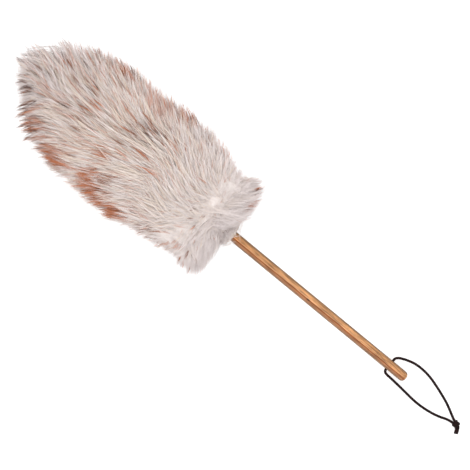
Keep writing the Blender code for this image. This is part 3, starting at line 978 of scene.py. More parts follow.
@dataclass
class Plume:
    """The pile of the head: close wool, combed strands in tufts, dark locks, fluff at the neck."""

    shaft: Shaft
    length: float = 335 * MM
    radius: float = 78 * MM
    seed: int = 11
    # How high the pile stands after it has sagged, as a share, and where it begins to bend and
    # lie on the table
    sag_share: float = 0.93
    rest: float = 11 * MM
    table_gap: float = 0.4 * MM
    skin_radius: float = 6.8 * MM
    # The combed tufts are made as this many pieces
    bands: int = 10
    fleece: Growth = Growth(
        count=6600,
        lay=Lay(4.5),
        gathering=Gathering(
            strands=15, radius=3.8 * MM, half_width=0.29 * MM,
            drawn=(0.6, 1.0), loose=0.2, stray=0.06, short=0.4,
        ),
        seed=0,
    )
    locks: Growth = Growth(
        count=360,
        lay=Lay(6.0, 12.0, 60.0),
        gathering=Gathering(
            strands=6, radius=1.2 * MM, half_width=0.22 * MM, drawn=(0.6, 0.95), loose=0.12,
            stray=0.03, short=0.15, crimp=0.5 * MM, crimp_turns=(1.0, 3.0),
        ),
        seed=20, tries=12, reach=(0.98, 1.09), lengths=(0.8, 1.05),
    )
    guards: Growth = Growth(
        count=2600,
        lay=Lay(5.0, 6.0, 30.0),
        gathering=Gathering(
            strands=2, radius=1.0 * MM, half_width=0.2 * MM, drawn=(0.3, 0.9), loose=0.0,
            stray=0.03, short=0.1, crimp=0.7 * MM, crimp_turns=(1.0, 2.5),
        ),
        seed=40, tries=4, reach=(1.0, 1.1), lengths=(0.85, 1.1),
    )
    wisps: Growth = Growth(
        count=1500,
        lay=Lay(7.0, 4.0, 45.0),
        gathering=Gathering(
            strands=8, radius=1.8 * MM, half_width=0.2 * MM, drawn=(0.8, 1.0), loose=0.1,
            stray=0.03, short=0.3, crimp=0.6 * MM, crimp_turns=(1.0, 2.5),
        ),
        seed=50, tries=6, reach=(1.02, 1.13), shades=(0.3, 1.0),
    )
    neck: Growth = Growth(
        count=900,
        lay=Lay(14.0),
        gathering=Gathering(
            strands=6, radius=2.2 * MM, half_width=0.24 * MM, drawn=(0.3, 0.8), loose=0.3,
            stray=0.12, short=0.4, crimp=0.9 * MM, crimp_turns=(3.0, 9.0),
        ),
        seed=30, shades=(0.4, 1.0),
    )
    # Where a strand is cut into rings and how wide it is there, as shares
    strand_cuts: tuple[float, ...] = (0.4, 0.75)
    strand_widths: Outline = ((0.0, 0.85), (0.4, 1.0), (0.75, 0.72), (1.0, 0.0))
    # How finely the outline is cut, and how many of the first steps lie against the handle
    outline_steps: int = 400
    hidden_steps: int = 20
    # How far combed tufts stray: round the shaft in radians, along it, and out from it as a share,
    # with more of that at the base
    turn_stray: float = 0.02
    along_stray: float = 2.2 * MM
    out_stray: float = 0.045
    base_stray: float = 0.05
    # How far out combed tufts reach on average, and their middle shade, as shares
    fleece_share: float = 0.98
    fleece_shade: float = 0.55
    # The higher, the fewer combed tufts reach all the way to the tip
    short_power: int = 5
    # Locks: how likely they are at the tip without a patch, how much further those of the tip
    # reach to -Y, how many end in soot everywhere and more at the tip, and how many others end
    # in rust
    lock_anywhere: float = 0.03
    lock_flare: tuple[float, float] = (0.04, 0.22)
    lock_soot: float = 0.12
    lock_tip_soot: float = 0.45
    lock_rust: float = 0.28
    # How likely single hairs and wisps are all over and at the rims, which the powers narrow
    guard_even: float = 0.25
    guard_rims: float = 0.5
    guard_rim_power: int = 3
    wisp_even: float = 0.12
    wisp_rim_power: int = 4
    # How much likelier wisps are at the tip and the base, and where along the length as shares
    wisp_tip: float = 6.5
    wisp_tip_reach: tuple[float, float] = (4.6 / 6, 5.6 / 6)
    wisp_base: float = 3.0
    wisp_base_reach: tuple[float, float] = (1 / 12, 0.0)
    # How far wisps of the tip fall short or reach past it, how much further those of the base
    # reach to +Y, and how much longer all are than combed tufts, as shares
    wisp_short: tuple[float, float] = (-0.03, 0.1)
    wisp_base_flare: float = 0.09
    wisp_length: float = 1.1
    # The neck's tufts: their lengths, and where they start and may end along the shaft, in
    # millimetres
    neck_lengths: tuple[float, float] = (7.0, 17.0)
    neck_starts: tuple[float, float] = (3.0, 20.0)
    neck_ends: tuple[float, float] = (2.5, 8.0)
    # How much shorter they are at -Y and longer on top, how far they lie back to the handle and
    # less so on top, as shares of their lengths, and the most sine of that lean
    neck_side_short: float = 0.35
    neck_top_long: float = 0.8
    neck_back: float = 0.55
    neck_top_forward: float = 0.15
    neck_most_lean: float = 0.95
    # How far they curl either way, in radians, and how many of their strands have a brown end
    neck_curl: float = 0.2
    neck_umber: float = 0.03
    # The close wool's start, its end as a share of the length, and its share of the radius
    body_start: float = 20 * MM
    body_end_share: float = 0.86
    body_share: float = 0.87
    # Where its bore ends as a share of the length, where its outline starts as a share of the
    # radius, and how far out from the bore, as a factor, its surface begins to be uneven
    bore_share: float = 0.8
    body_first_share: float = 0.3
    bore_margin: float = 1.2
    # The unevenness: each swell's height as a share and its size across, and how many of them
    # lie along the plume for one across
    body_swells: Outline = ((0.06, 14 * MM), (0.04, 5 * MM))
    body_swell_pace: float = 0.4
    # Where the strands on top part to the handle and to the tip, how much nearer the tip that is
    # on the crest, how wide the parting is and how soon strands lie flat past it, as shares of the
    # length, and how far they fall to the sides there, in degrees
    fan_share: float = 0.12
    fan_shift: float = 0.03
    fan_width: float = 0.07
    fan_change: float = 0.1
    fan_fall: float = 60.0
    # Most tufts at the tip fall short, by up to this share of the way from the middle that they
    # spread from, and where that middle lies as a share of the length
    tip_short: float = 0.27
    tip_middle_share: float = 0.7
    # How many of the tufts are missing at the very tip, as a share
    tip_bare: float = 0.6
    # How far the base thins out to +Y beside the handle, as a share
    base_thin: float = 0.17
    # Along the length as shares, where what belongs to the base, the tip, its hooks and its bare
    # tufts starts and is full
    base_reach: tuple[float, float] = (1 / 9, 0.0)
    tip_reach: tuple[float, float] = (0.72, 0.92)
    hook_reach: tuple[float, float] = (0.66, 0.86)
    bare_reach: tuple[float, float] = (5.8 / 7, 6.8 / 7)
    # Over the handle the base falls in a cone: round which turn, how wide, how far along the shaft
    # it starts, how much further it lies at full radius and by which power, and where it fades
    cone_turn: float = math.radians(-16)
    cone_width: float = math.radians(27)
    cone_start: float = 3 * MM
    cone_rise: float = 48 * MM
    cone_power: float = 1.3
    cone_fade: tuple[float, float] = (80 * MM, 15 * MM)
    # How much further its strands lean to the handle, in degrees, and how deep in it the close
    # wool begins
    cone_lean: float = 26.0
    cone_depth: float = 12 * MM
    # Between base and tip strands lie flatter on top, lean less at +Y, turn aside from the crest
    # and all turn one way a little, in degrees
    crest_lean: float = 30.0
    side_lean: float = -3.0
    crest_aside: float = 18.0
    all_aside: float = -2.0
    # Along the length as shares, where that starts and is full, from the base and from the tip
    crest_start: tuple[float, float] = (0.0, 1 / 6)
    crest_end: tuple[float, float] = (1.0, 0.8)
    # Strands start steeper than they end, by so many degrees and a stray from that. At their start
    # they lean to the tip by a share of their hook and turn aside by a share of what the end does.
    start_steeper: float = 18.0
    start_rough: float = 5.0
    start_hook: float = 0.6
    start_aside: float = 0.3
    # Up to the first share of the length strands start at the skin, and past the second all are
    # as long as they get. Between them they start under the surface of the close wool, by a share
    # of how far out they reach and a depth.
    skin_share: float = 0.03
    full_share: float = 0.8
    root_share: float = 0.05
    root_depth: float = 9 * MM
    shortest: float = 24 * MM
    # The least that a strand rises for its length
    least_rise: float = 0.15
    # Fields of chance: of strands' leans and turns aside in degrees, of the crest's line in
    # radians, and of the outline, of shades, of brown tips and of the patches' edges as shares
    lean_swells: tuple[Swell, ...] = (Swell(6, 48 * MM, 1), Swell(4, 13 * MM, 6))
    aside_swells: tuple[Swell, ...] = (Swell(7, 56 * MM, 2), Swell(4, 13 * MM, 7))
    crest_swell: Swell = Swell(0.32, 110 * MM, 9)
    outline_swell: Swell = Swell(0.02, 30 * MM, 4)
    shade_swell: Swell = Swell(0.25, 22 * MM, 5)
    brown_swell: Swell = Swell(0.8, 9 * MM, 8)
    patch_swell: Swell = Swell(0.45, 14 * MM, 3)
    # From the shoulder as shares of the length, and out from the shaft as shares of the radius
    outline_shares: Outline = (
        (0.042, 0.14), (0.028, 0.40), (0.008, 0.62), (0.007, 0.78), (0.045, 0.85), (0.12, 0.88),
        (0.20, 0.92), (0.28, 0.975), (0.38, 1.0), (0.50, 0.99), (0.60, 0.995), (0.68, 0.985),
        (0.76, 0.93), (0.83, 0.82), (0.89, 0.68), (0.935, 0.51), (0.97, 0.32), (0.992, 0.25),
        (1.0, 0.0),
    )
    # Along the length as a share, and how much wider the plume is to -Y and to +Y, as shares
    sides: Route = (
        (0.02, 0.04, 0.09),
        (0.05, -0.03, 0.07),
        (0.10, -0.05, -0.06),
        (0.16, -0.08, -0.04),
        (0.24, -0.10, 0.02),
        (0.32, -0.08, 0.02),
        (0.38, -0.02, 0.01),
        (0.50, -0.01, -0.02),
        (0.60, -0.05, -0.02),
        (0.70, -0.05, -0.02),
        (0.76, -0.07, -0.02),
        (0.80, -0.08, -0.01),
        (0.86, -0.10, 0.02),
        (0.90, -0.27, 0.05),
        (0.93, -0.36, 0.14),
        (0.955, -0.30, -0.35),
        (0.985, -0.9, 0.35),
        (1.0, -1.0, 0.35),
    )
    # Along the length as a share, and how far the strands lean to the tip, in degrees
    lean_degrees: Outline = (
        (0.0, -34.0), (0.03, -27.0), (0.06, -13.0), (0.09, 0.0), (0.15, 14.0), (0.25, 30.0),
        (0.4, 40.0), (0.6, 43.0), (0.8, 50.0), (0.9, 62.0), (1.0, 82.0),
    )
    # Along the length as a share, and how long the strands are, in millimetres
    longest: Outline = ((0.0, 54.0), (0.1, 50.0), (0.6, 52.0), (0.85, 58.0), (1.0, 62.0))
    # Along the length as a share, and how many strands have a brown tip
    ticking: Outline = (
        (0.1, 0.0), (0.3, 0.07), (0.5, 0.16), (0.7, 0.15), (0.85, 0.09), (1.0, 0.04),
    )
    # The same for a cream end on the crest, and for a brown end of the single long hairs
    cream: Outline = ((0.05, 0.0), (0.25, 0.3), (0.6, 0.7), (0.8, 0.5), (1.0, 0.15))
    guard_browns: Outline = ((0.0, 0.12), (0.7, 0.4), (1.0, 0.25))
    # How many cream ends the sides have for one on the crest
    cream_sides: float = 0.35
    # How many of the brown tips are of the stronger red-brown
    rust_share: float = 0.3
    patches: tuple[Patch, ...] = (
        Patch(234, 78, 15, 15, Tint.RUST, 0.8), Patch(180, 66, 20, 15, Tint.BLUSH, 1.2),
        Patch(140, 79, 14, 13, Tint.RUST, 0.9), Patch(257, -68, 20, 10, Tint.RUST, 0.6),
        Patch(232, -66, 14, 13, Tint.RUST, 2.0), Patch(189, -49, 11, 10, Tint.RUST, 1.8),
        Patch(174, -66, 18, 13, Tint.RUST, 1.8), Patch(143, -70, 18, 12, Tint.RUST, 1.7),
        Patch(96, -62, 12, 10, Tint.UMBER, 0.5), Patch(60, -60, 12, 10, Tint.BLUSH, 0.7),
        Patch(197, -19, 8, 7, Tint.RUST, 0.8), Patch(274, -64, 12, 10, Tint.RUST, 0.6),
        Patch(150, 152, 18, 22, Tint.RUST, 1.0), Patch(214, -136, 20, 20, Tint.RUST, 1.0),
        Patch(96, -150, 14, 18, Tint.UMBER, 0.8), Patch(252, 138, 18, 20, Tint.BLUSH, 0.9),
        Patch(58, 118, 12, 16, Tint.RUST, 0.8),
    )
    lock_patches: tuple[Patch, ...] = (
        Patch(188, 21, 22, 18, Tint.UMBER, 1.0), Patch(156, 26, 14, 14, Tint.UMBER, 0.7),
        Patch(156, -2, 14, 12, Tint.UMBER, 0.7), Patch(250, 10, 26, 24, Tint.UMBER, 0.4),
        Patch(295, 42, 18, 24, Tint.SOOT, 0.35), Patch(318, 20, 14, 60, Tint.SOOT, 0.2),
        Patch(298, -60, 22, 22, Tint.SOOT, 2.0), Patch(268, -72, 18, 14, Tint.SOOT, 1.1),
        Patch(35, 12, 3, 4, Tint.UMBER, 2.0), Patch(68, -10, 3, 4, Tint.UMBER, 2.0),
        Patch(51, -22, 3, 4, Tint.UMBER, 2.0), Patch(232, 74, 18, 14, Tint.SOOT, 1.0),
        Patch(138, 74, 16, 12, Tint.SOOT, 0.8), Patch(174, -44, 16, 12, Tint.UMBER, 0.7),
        Patch(20, -50, 14, 30, Tint.UMBER, 0.25), Patch(10, 50, 12, 26, Tint.UMBER, 0.35),
        Patch(240, 180, 40, 60, Tint.SOOT, 0.25), Patch(120, 170, 40, 60, Tint.UMBER, 0.2),
    )

    def outline(self) -> tuple[np.ndarray, np.ndarray, np.ndarray]:
        """Places along and out from the shaft on the plume's outline, and the area up to each."""
        rough = np.array(self.outline_shares) * (self.length, self.radius)
        steps = np.linspace(0, len(rough) - 1, self.outline_steps)
        kept = np.arange(len(rough))
        along, out = (np.interp(steps, kept, rough[:, k]) for k in (0, 1))
        pieces = np.hypot(np.diff(along), np.diff(out)) * (out[1:] + out[:-1]) / 2
        return along, out, np.concatenate([[0.0], np.cumsum(pieces)])

    def scattered(
        self,
        chance: np.random.Generator,
        kind: Growth,
        likely: Callable[[np.ndarray, np.ndarray], np.ndarray],
    ) -> tuple[np.ndarray, np.ndarray, np.ndarray]:
        """Picks random places on the plume.

        Args:
            chance: The source of chance.
            kind: The tufts that the places are for.
            likely: How likely places are to be picked, by where they lie along and round it.

        Returns:
            The places along, out from and round the shaft.
        """
        line_along, line_out, area = self.outline()
        drawn = kind.count * kind.tries
        order = chance.uniform(area[self.hidden_steps], area[-1], drawn)
        along, out = (np.interp(order, area, line) for line in (line_along, line_out))
        turn = chance.uniform(0, 2 * math.pi, drawn)
        kept = np.argsort(chance.random(drawn) / likely(along, turn))[: kind.count]
        return along[kept], out[kept], turn[kept]

    def swell(self, along: np.ndarray, turn: np.ndarray, *fields: Swell) -> np.ndarray:
        """Adds up fields of chance over the plume.

        Args:
            along: Places along the shaft, in metres.
            turn: Places round it, in radians.
            fields: The fields.

        Returns:
            Their sum at each place.
        """
        heights = [
            field.height * waves(along, turn, field.size, self.seed + field.number)
            for field in fields
        ]
        return sum(heights)

    def widened(self, along: np.ndarray, turn: np.ndarray) -> np.ndarray:
        """How much further than the outline the plume reaches at places on it.

        Args:
            along: Places along the shaft, in metres.
            turn: Places round it, in radians.

        Returns:
            The factor at each place.
        """
        share, low, high = zip(*self.sides)
        side = (1 + np.sin(turn)) / 2
        low, high = (np.interp(along / self.length, share, wider) for wider in (low, high))
        return 1 + low * (1 - side) + high * side

    def over_handle(self, along: np.ndarray, turn: np.ndarray) -> np.ndarray:
        """How far places on the plume lie over the handle, from 0 to 1."""
        off = (turn - self.cone_turn + math.pi) % (2 * math.pi) - math.pi
        return np.exp(-((off / self.cone_width) ** 2)) * ramp(along, *self.cone_fade)

    def drawn_in(
        self, along: np.ndarray, out: np.ndarray, turn: np.ndarray, depth: float = 0.0
    ) -> np.ndarray:
        """Places along the plume, with those over the handle drawn in to the cone."""
        rise = self.cone_rise * (out / self.radius) ** self.cone_power
        cone = self.cone_start + depth + rise
        return along + (cone - along) * self.over_handle(along, turn)

    def short_of(
        self, along: np.ndarray, out: np.ndarray, short: np.ndarray
    ) -> tuple[np.ndarray, np.ndarray]:
        """Places near the tip, a share short of the way from the middle that tufts spread from."""
        short = short * ramp(along / self.length, *self.tip_reach)
        return along - (along - self.tip_middle_share * self.length) * short, out * (1 - short)

    def ways(self, lean: np.ndarray, aside: np.ndarray, turn: np.ndarray) -> np.ndarray:
        """Directions that lean to the tip and to one side, by the place round the shaft."""
        out, along, past = np.cos(lean) * np.cos(aside), np.sin(lean) * np.cos(aside), np.sin(aside)
        sine, cosine = np.sin(turn), np.cos(turn)
        return np.stack([along, out * cosine - past * sine, out * sine + past * cosine], 1)

    def combed(
        self,
        along: np.ndarray,
        out: np.ndarray,
        turn: np.ndarray,
        lay: Lay,
        chance: np.random.Generator,
    ) -> Tufts:
        """Works out how tufts run that end at places on the plume.

        Args:
            along: Each tuft's end, along the shaft.
            out: The same, out from the shaft.
            turn: The same, round the shaft.
            lay: How the tufts lie.
            chance: The source of chance.

        Returns:
            The tufts.
        """
        count = len(along)
        share = along / self.length
        crest = np.clip(np.cos(turn), 0, 1)
        lean = np.interp(share - self.fan_shift * crest, *zip(*self.lean_degrees))
        # On top the pile falls to both sides and lies flatter, all but its base and tip
        body = ramp(share, *self.crest_start) * ramp(share, *self.crest_end)
        flat = np.clip((share - self.fan_share) / self.fan_change, -1, 1)
        lean += (self.crest_lean * crest * flat + self.side_lean * np.sin(turn)) * body
        lean += self.swell(along, turn, *self.lean_swells) + lay.flatter * flat
        lean -= self.cone_lean * self.over_handle(along, turn) * np.clip(-flat, 0, 1)
        # The line that it falls from wanders from side to side
        sway = self.swell(along, np.zeros(count), self.crest_swell)
        aside = self.crest_aside * np.sin(2 * (turn + sway)) * body + self.all_aside
        aside += self.swell(along, turn, *self.aside_swells)
        # Where it parts, the pile on top falls straight to the sides
        parted = np.exp(-(((share - self.fan_share) / self.fan_width) ** 2)) * crest
        aside += self.fan_fall * parted * np.sin(turn)
        lean = np.radians(lean + chance.normal(0, lay.rough, count))
        aside = np.radians(aside + chance.normal(0, lay.rough, count))
        hooked = np.radians(lay.hook) * ramp(share, *self.hook_reach) * (1 - np.sin(turn)) / 2
        steeper = np.radians(self.start_steeper + chance.normal(0, self.start_rough, count))
        start_lean = lean - steeper + hooked * self.start_hook
        lean -= hooked
        longest = np.interp(share, *zip(*self.longest)) * MM
        rise = np.maximum(np.cos((lean + start_lean) / 2), self.least_rise)
        in_wool = out * (1 + self.root_share - self.body_share) + self.root_depth
        depth = np.where(share < self.skin_share, out - self.skin_radius, in_wool)
        lengths = np.clip(depth / rise, np.minimum(out, self.shortest), longest)
        return Tufts(
            tips=np.stack([along, out * np.cos(turn), out * np.sin(turn)], 1),
            start_ways=self.ways(start_lean, aside * self.start_aside, turn),
            end_ways=self.ways(lean, aside, turn),
            lengths=np.where(share < self.full_share, lengths, longest),
        )

    def tinted(
        self, along: np.ndarray, turn: np.ndarray, chance: np.random.Generator
    ) -> np.ndarray:
        """Picks strands' tints from how the wool is coloured where they end.

        Args:
            along: Each strand's end, along the shaft.
            turn: The same, round the shaft.
            chance: The source of chance.

        Returns:
            Each strand's tint.
        """
        count, share = len(along), along / self.length
        crest = self.cream_sides + (1 - self.cream_sides) * np.clip(np.cos(turn), 0, 1)
        cream = chance.random(count) < np.interp(share, *zip(*self.cream)) * crest
        tints = np.where(cream, Tint.CREAM.value, Tint.WHITE.value)
        clumps = 1 + self.swell(along, turn, self.brown_swell)
        ticked = chance.random(count) < np.interp(share, *zip(*self.ticking)) * clumps
        rusty = chance.random(count) < self.rust_share
        tints = np.where(ticked, np.where(rusty, Tint.RUST.value, Tint.BLUSH.value), tints)
        edge = 1 + self.swell(along, turn, self.patch_swell)
        for patch in self.patches:
            inside = chance.random(count) < patch.strength_at(along, turn) * edge
            tints = np.where(inside, patch.tint.value, tints)
        return tints

    def combed_strands(self) -> Strands:
        """The strands of the plume, tuft by tuft from the base to the tip."""
        kind = self.fleece
        chance = np.random.default_rng(self.seed + kind.seed)
        line_along, line_out, area = self.outline()
        number = np.arange(kind.count)
        order = (number + 0.5) / kind.count * area[-1]
        along, out = (np.interp(order, area, line) for line in (line_along, line_out))
        # Turned by the golden angle from one to the next, tufts never stand in rows
        turn = number * math.pi * (3 - 5**0.5) + chance.normal(0, self.turn_stray, kind.count)
        turn %= 2 * math.pi
        bare = self.tip_bare * ramp(along / self.length, *self.bare_reach)
        kept = chance.random(kind.count) > bare
        along, out, turn = along[kept], out[kept], turn[kept]
        count = len(turn)
        short = self.tip_short * (1 - chance.random(count) ** self.short_power)
        along, out = self.short_of(along, out, short)
        along = self.drawn_in(along + chance.normal(0, self.along_stray, count), out, turn)
        out *= self.widened(along, turn)
        base = ramp(along / self.length, *self.base_reach)
        uneven = chance.normal(0, self.out_stray + self.base_stray * base)
        out *= self.fleece_share + self.swell(along, turn, self.outline_swell) + uneven
        out *= 1 - self.base_thin * base * np.clip(np.sin(turn), 0, 1) * chance.random(count)
        tufts = self.combed(along, out, turn, kind.lay, chance)
        shades = np.clip(self.fleece_shade + self.swell(along, turn, self.shade_swell), 0, 1)
        which = np.repeat(np.arange(count), kind.gathering.strands)
        tints = self.tinted(along[which], turn[which], chance)
        return tufts.gathered(kind.gathering, tints, shades, chance)

    def likely_lock(self, along: np.ndarray, turn: np.ndarray) -> np.ndarray:
        """How likely dark locks are at places on the plume."""
        patches = sum(patch.strength_at(along, turn) for patch in self.lock_patches)
        return self.lock_anywhere * (along / self.length) + patches

    def dark_locks(self) -> Strands:
        """Thin locks with brown or black-brown ends, most of them where their patches lie."""
        kind = self.locks
        chance = np.random.default_rng(self.seed + kind.seed)
        along, out, turn = self.scattered(chance, kind, self.likely_lock)
        out *= chance.uniform(*kind.reach, kind.count)
        along = self.drawn_in(along, out, turn)
        at_tip = ramp(along / self.length, *self.hook_reach) * (1 - np.sin(turn)) / 2
        flare = 1 + at_tip * chance.uniform(*self.lock_flare, kind.count)
        out *= self.widened(along, turn) * flare
        locks = self.combed(along, out, turn, kind.lay, chance)
        locks.lengths *= chance.uniform(*kind.lengths, kind.count)
        sooty = self.lock_soot + self.lock_tip_soot * ramp(along / self.length, *self.tip_reach)
        rusty = chance.random(kind.count) < self.lock_rust
        browns = np.where(rusty, Tint.RUST.value, Tint.UMBER.value)
        tints = np.where(chance.random(kind.count) < sooty, Tint.SOOT.value, browns)
        tints = np.repeat(tints, kind.gathering.strands)
        shades = chance.uniform(*kind.shades, kind.count)
        return locks.gathered(kind.gathering, tints, shades, chance)

    def likely_guard(self, along: np.ndarray, turn: np.ndarray) -> np.ndarray:
        """How likely single long hairs are at places on the plume."""
        rim_shade_reaches = np.abs(np.sin(turn)) ** self.guard_rim_power * self.guard_rims
        return self.guard_even + along / self.length + rim_shade_reaches

    def guard_strands(self) -> Strands:
        """Single long hairs that stand a little out of the wool, some of them with brown ends."""
        kind = self.guards
        chance = np.random.default_rng(self.seed + kind.seed)
        along, out, turn = self.scattered(chance, kind, self.likely_guard)
        along = self.drawn_in(along, out, turn)
        out *= self.widened(along, turn) * chance.uniform(*kind.reach, kind.count)
        hairs = self.combed(along, out, turn, kind.lay, chance)
        hairs.lengths *= chance.uniform(*kind.lengths, kind.count)
        likely = np.interp(along / self.length, *zip(*self.guard_browns))
        brown = chance.random(kind.count) < likely
        browns = (Tint.BLUSH.value, Tint.RUST.value, Tint.UMBER.value)
        tints = np.where(brown, chance.choice(browns, kind.count), Tint.WHITE.value)
        tints = np.repeat(tints, kind.gathering.strands)
        shades = chance.uniform(*kind.shades, kind.count)
        return hairs.gathered(kind.gathering, tints, shades, chance)

    def likely_wisp(self, along: np.ndarray, turn: np.ndarray) -> np.ndarray:
        """How likely wisps are at places on the plume.

        Args:
            along: Places along the shaft, in metres.
            turn: Places round it, in radians.

        Returns:
            How likely each place is to be picked.
        """
        share = along / self.length
        ends = self.wisp_tip * ramp(share, *self.wisp_tip_reach)
        ends += self.wisp_base * ramp(share, *self.wisp_base_reach)
        return self.wisp_even + np.abs(np.sin(turn)) ** self.wisp_rim_power + ends

    def wisp_strands(self) -> Strands:
        """Pointed wisps that stand out past the close outline, most at the rims and both ends."""
        kind = self.wisps
        chance = np.random.default_rng(self.seed + kind.seed)
        along, out, turn = self.scattered(chance, kind, self.likely_wisp)
        along, out = self.short_of(along, out, chance.uniform(*self.wisp_short, kind.count))
        along = self.drawn_in(along, out, turn)
        base = ramp(along / self.length, *self.base_reach)
        nearest, farthest = kind.reach
        farthest = farthest + self.wisp_base_flare * base * np.clip(np.sin(turn), 0, 1)
        out *= self.widened(along, turn) * chance.uniform(nearest, farthest)
        wisps = self.combed(along, out, turn, kind.lay, chance)
        wisps.lengths *= self.wisp_length
        tints = np.repeat(self.tinted(along, turn, chance), kind.gathering.strands)
        shades = chance.uniform(*kind.shades, kind.count)
        return wisps.gathered(kind.gathering, tints, shades, chance)

    def neck_strands(self) -> Strands:
        """Short fluff of the first turn of the strip, which hides the skin beside the handle."""
        kind = self.neck
        chance = np.random.default_rng(self.seed + kind.seed)
        turn = chance.uniform(0, 2 * math.pi, kind.count)
        crest = np.clip(np.cos(turn), 0, 1)
        lengths = chance.uniform(*self.neck_lengths, kind.count) * MM
        lengths *= 1 + self.neck_side_short * np.clip(np.sin(turn), -1, 0)
        lengths *= 1 + self.neck_top_long * crest * chance.random(kind.count)
        start = chance.uniform(*self.neck_starts, kind.count) * MM
        nearest = chance.uniform(*self.neck_ends, kind.count) * MM
        ends = np.maximum(start - lengths * self.neck_back, nearest)
        ends += self.neck_top_forward * lengths * crest
        most = self.neck_most_lean
        lean = np.arcsin(np.clip((ends - start) / lengths, -most, most))
        out = self.skin_radius + lengths * np.cos(lean)
        aside = np.radians(chance.normal(0, kind.lay.rough, kind.count))
        tufts = Tufts(
            tips=np.stack([ends, out * np.cos(turn), out * np.sin(turn)], 1),
            start_ways=self.ways(lean + self.neck_curl, aside, turn),
            end_ways=self.ways(lean - self.neck_curl, aside, turn),
            lengths=lengths,
        )
        umber = chance.random(kind.count * kind.gathering.strands) < self.neck_umber
        tints = np.where(umber, Tint.UMBER.value, Tint.WHITE.value)
        shades = chance.uniform(*kind.shades, kind.count)
        return tufts.gathered(kind.gathering, tints, shades, chance)

    def settled(self, points: np.ndarray) -> np.ndarray:
        """Sags strands a little, and lays flat on the table what would reach under it.

        Args:
            points: Places in the shaft's coordinates.

        Returns:
            Places in the row frame.
        """
        placed = self.shaft.to_world(points * (1.0, self.sag_share, 1.0))
        low = placed[:, 2] < self.rest
        sunk = np.exp((placed[low, 2] - self.rest) / self.rest)
        placed[low, 2] = self.rest * sunk + self.table_gap
        return placed

    def planted(
        self, name: str, strands: Strands, shape: StrandShape, finish: bpy.types.Material
    ) -> None:
        """Makes one piece of the pile from strands.

        Args:
            name: The piece's name.
            strands: The strands in it.
            shape: The unit strand.
            finish: The piece's material.
        """
        grown = strands.grown(shape, self.length)
        placed = grown._replace(
            points=self.settled(grown.points), normals=grown.normals @ self.shaft.axes
        )
        add_piece(name, placed.mesh(name, WoolStrands.map_name), finish, "root")
        LOG.info("%s: %d strands, %d triangles", name, len(strands.tips), len(grown.triangles))

    def close_wool(self, finish: bpy.types.Material) -> None:
        """Makes the dense wool round the skin, a turned body with an uneven surface.

        Args:
            finish: Its material.
        """
        bore, back = self.skin_radius, self.length * self.bore_share
        line = [(back, 0.0), (back, bore), (self.body_start, bore)]
        long = self.body_end_share * self.length - self.body_start
        for along, out in self.outline_shares:
            # All but the stretch that turns in against the handle
            if out > self.body_first_share or along > 0.5:
                line.append((self.body_start + along * long, out * self.radius * self.body_share))
        bm = bmesh.new()
        corners = [bm.verts.new((along, out, 0.0)) for along, out in line]
        edges = [bm.edges.new(pair) for pair in zip(corners, corners[1:])]
        bmesh.ops.subdivide_edges(bm, edges=edges[2:], cuts=3)
        bmesh.ops.spin(
            bm,
            geom=[*bm.verts, *bm.edges],
            axis=(1.0, 0.0, 0.0),
            cent=(0.0, 0.0, 0.0),
            angle=2 * math.pi,
            steps=96,
            use_merge=True,
        )
        bmesh.ops.remove_doubles(bm, verts=bm.verts, dist=MERGE_DISTANCE)
        bmesh.ops.recalc_face_normals(bm, faces=bm.faces)
        for vertex in bm.verts:
            if math.hypot(vertex.co.y, vertex.co.z) > bore * self.bore_margin:
                place = vertex.co * Vector((self.body_swell_pace, 1.0, 1.0))
                swell = 1.0
                for height, size in self.body_swells:
                    swell += height * noise.noise(place / size)
                vertex.co.y *= swell
                vertex.co.z *= swell
        for face in bm.faces:
            face.smooth = True
        mesh = bpy.data.meshes.new("wool_close")
        bm.to_mesh(mesh)
        bm.free()
        points = np.array([vertex.co for vertex in mesh.vertices])
        turn = np.arctan2(points[:, 2], points[:, 1])
        out = np.hypot(points[:, 1], points[:, 2])
        drawn = self.drawn_in(points[:, 0], out, turn, self.cone_depth)
        points[:, 0] = np.maximum(points[:, 0], drawn)
        mesh.vertices.foreach_set("co", self.settled(points).astype(np.float32).ravel())
        add_piece("wool_close", mesh, finish, "root", "wool")

    def build(self) -> None:
        """Makes every piece of the plume."""
        finish = WoolStrands().make()
        self.close_wool(WoolUnder().make(self.shaft))
        shape = StrandShape.cut(self.strand_cuts, self.strand_widths)
        strands = self.combed_strands()
        pieces = {
            f"pile_band_{band + 1}": strands.chosen(numbers)
            for band, numbers in enumerate(np.array_split(np.arange(len(strands.tips)), self.bands))
        }
        pieces["pile_dark_locks"] = self.dark_locks()
        pieces["pile_guard_hairs"] = self.guard_strands()
        pieces["pile_wisps"] = self.wisp_strands()
        pieces["pile_neck_fluff"] = self.neck_strands()
        for name, gathered in pieces.items():
            self.planted(name, gathered, shape, finish)


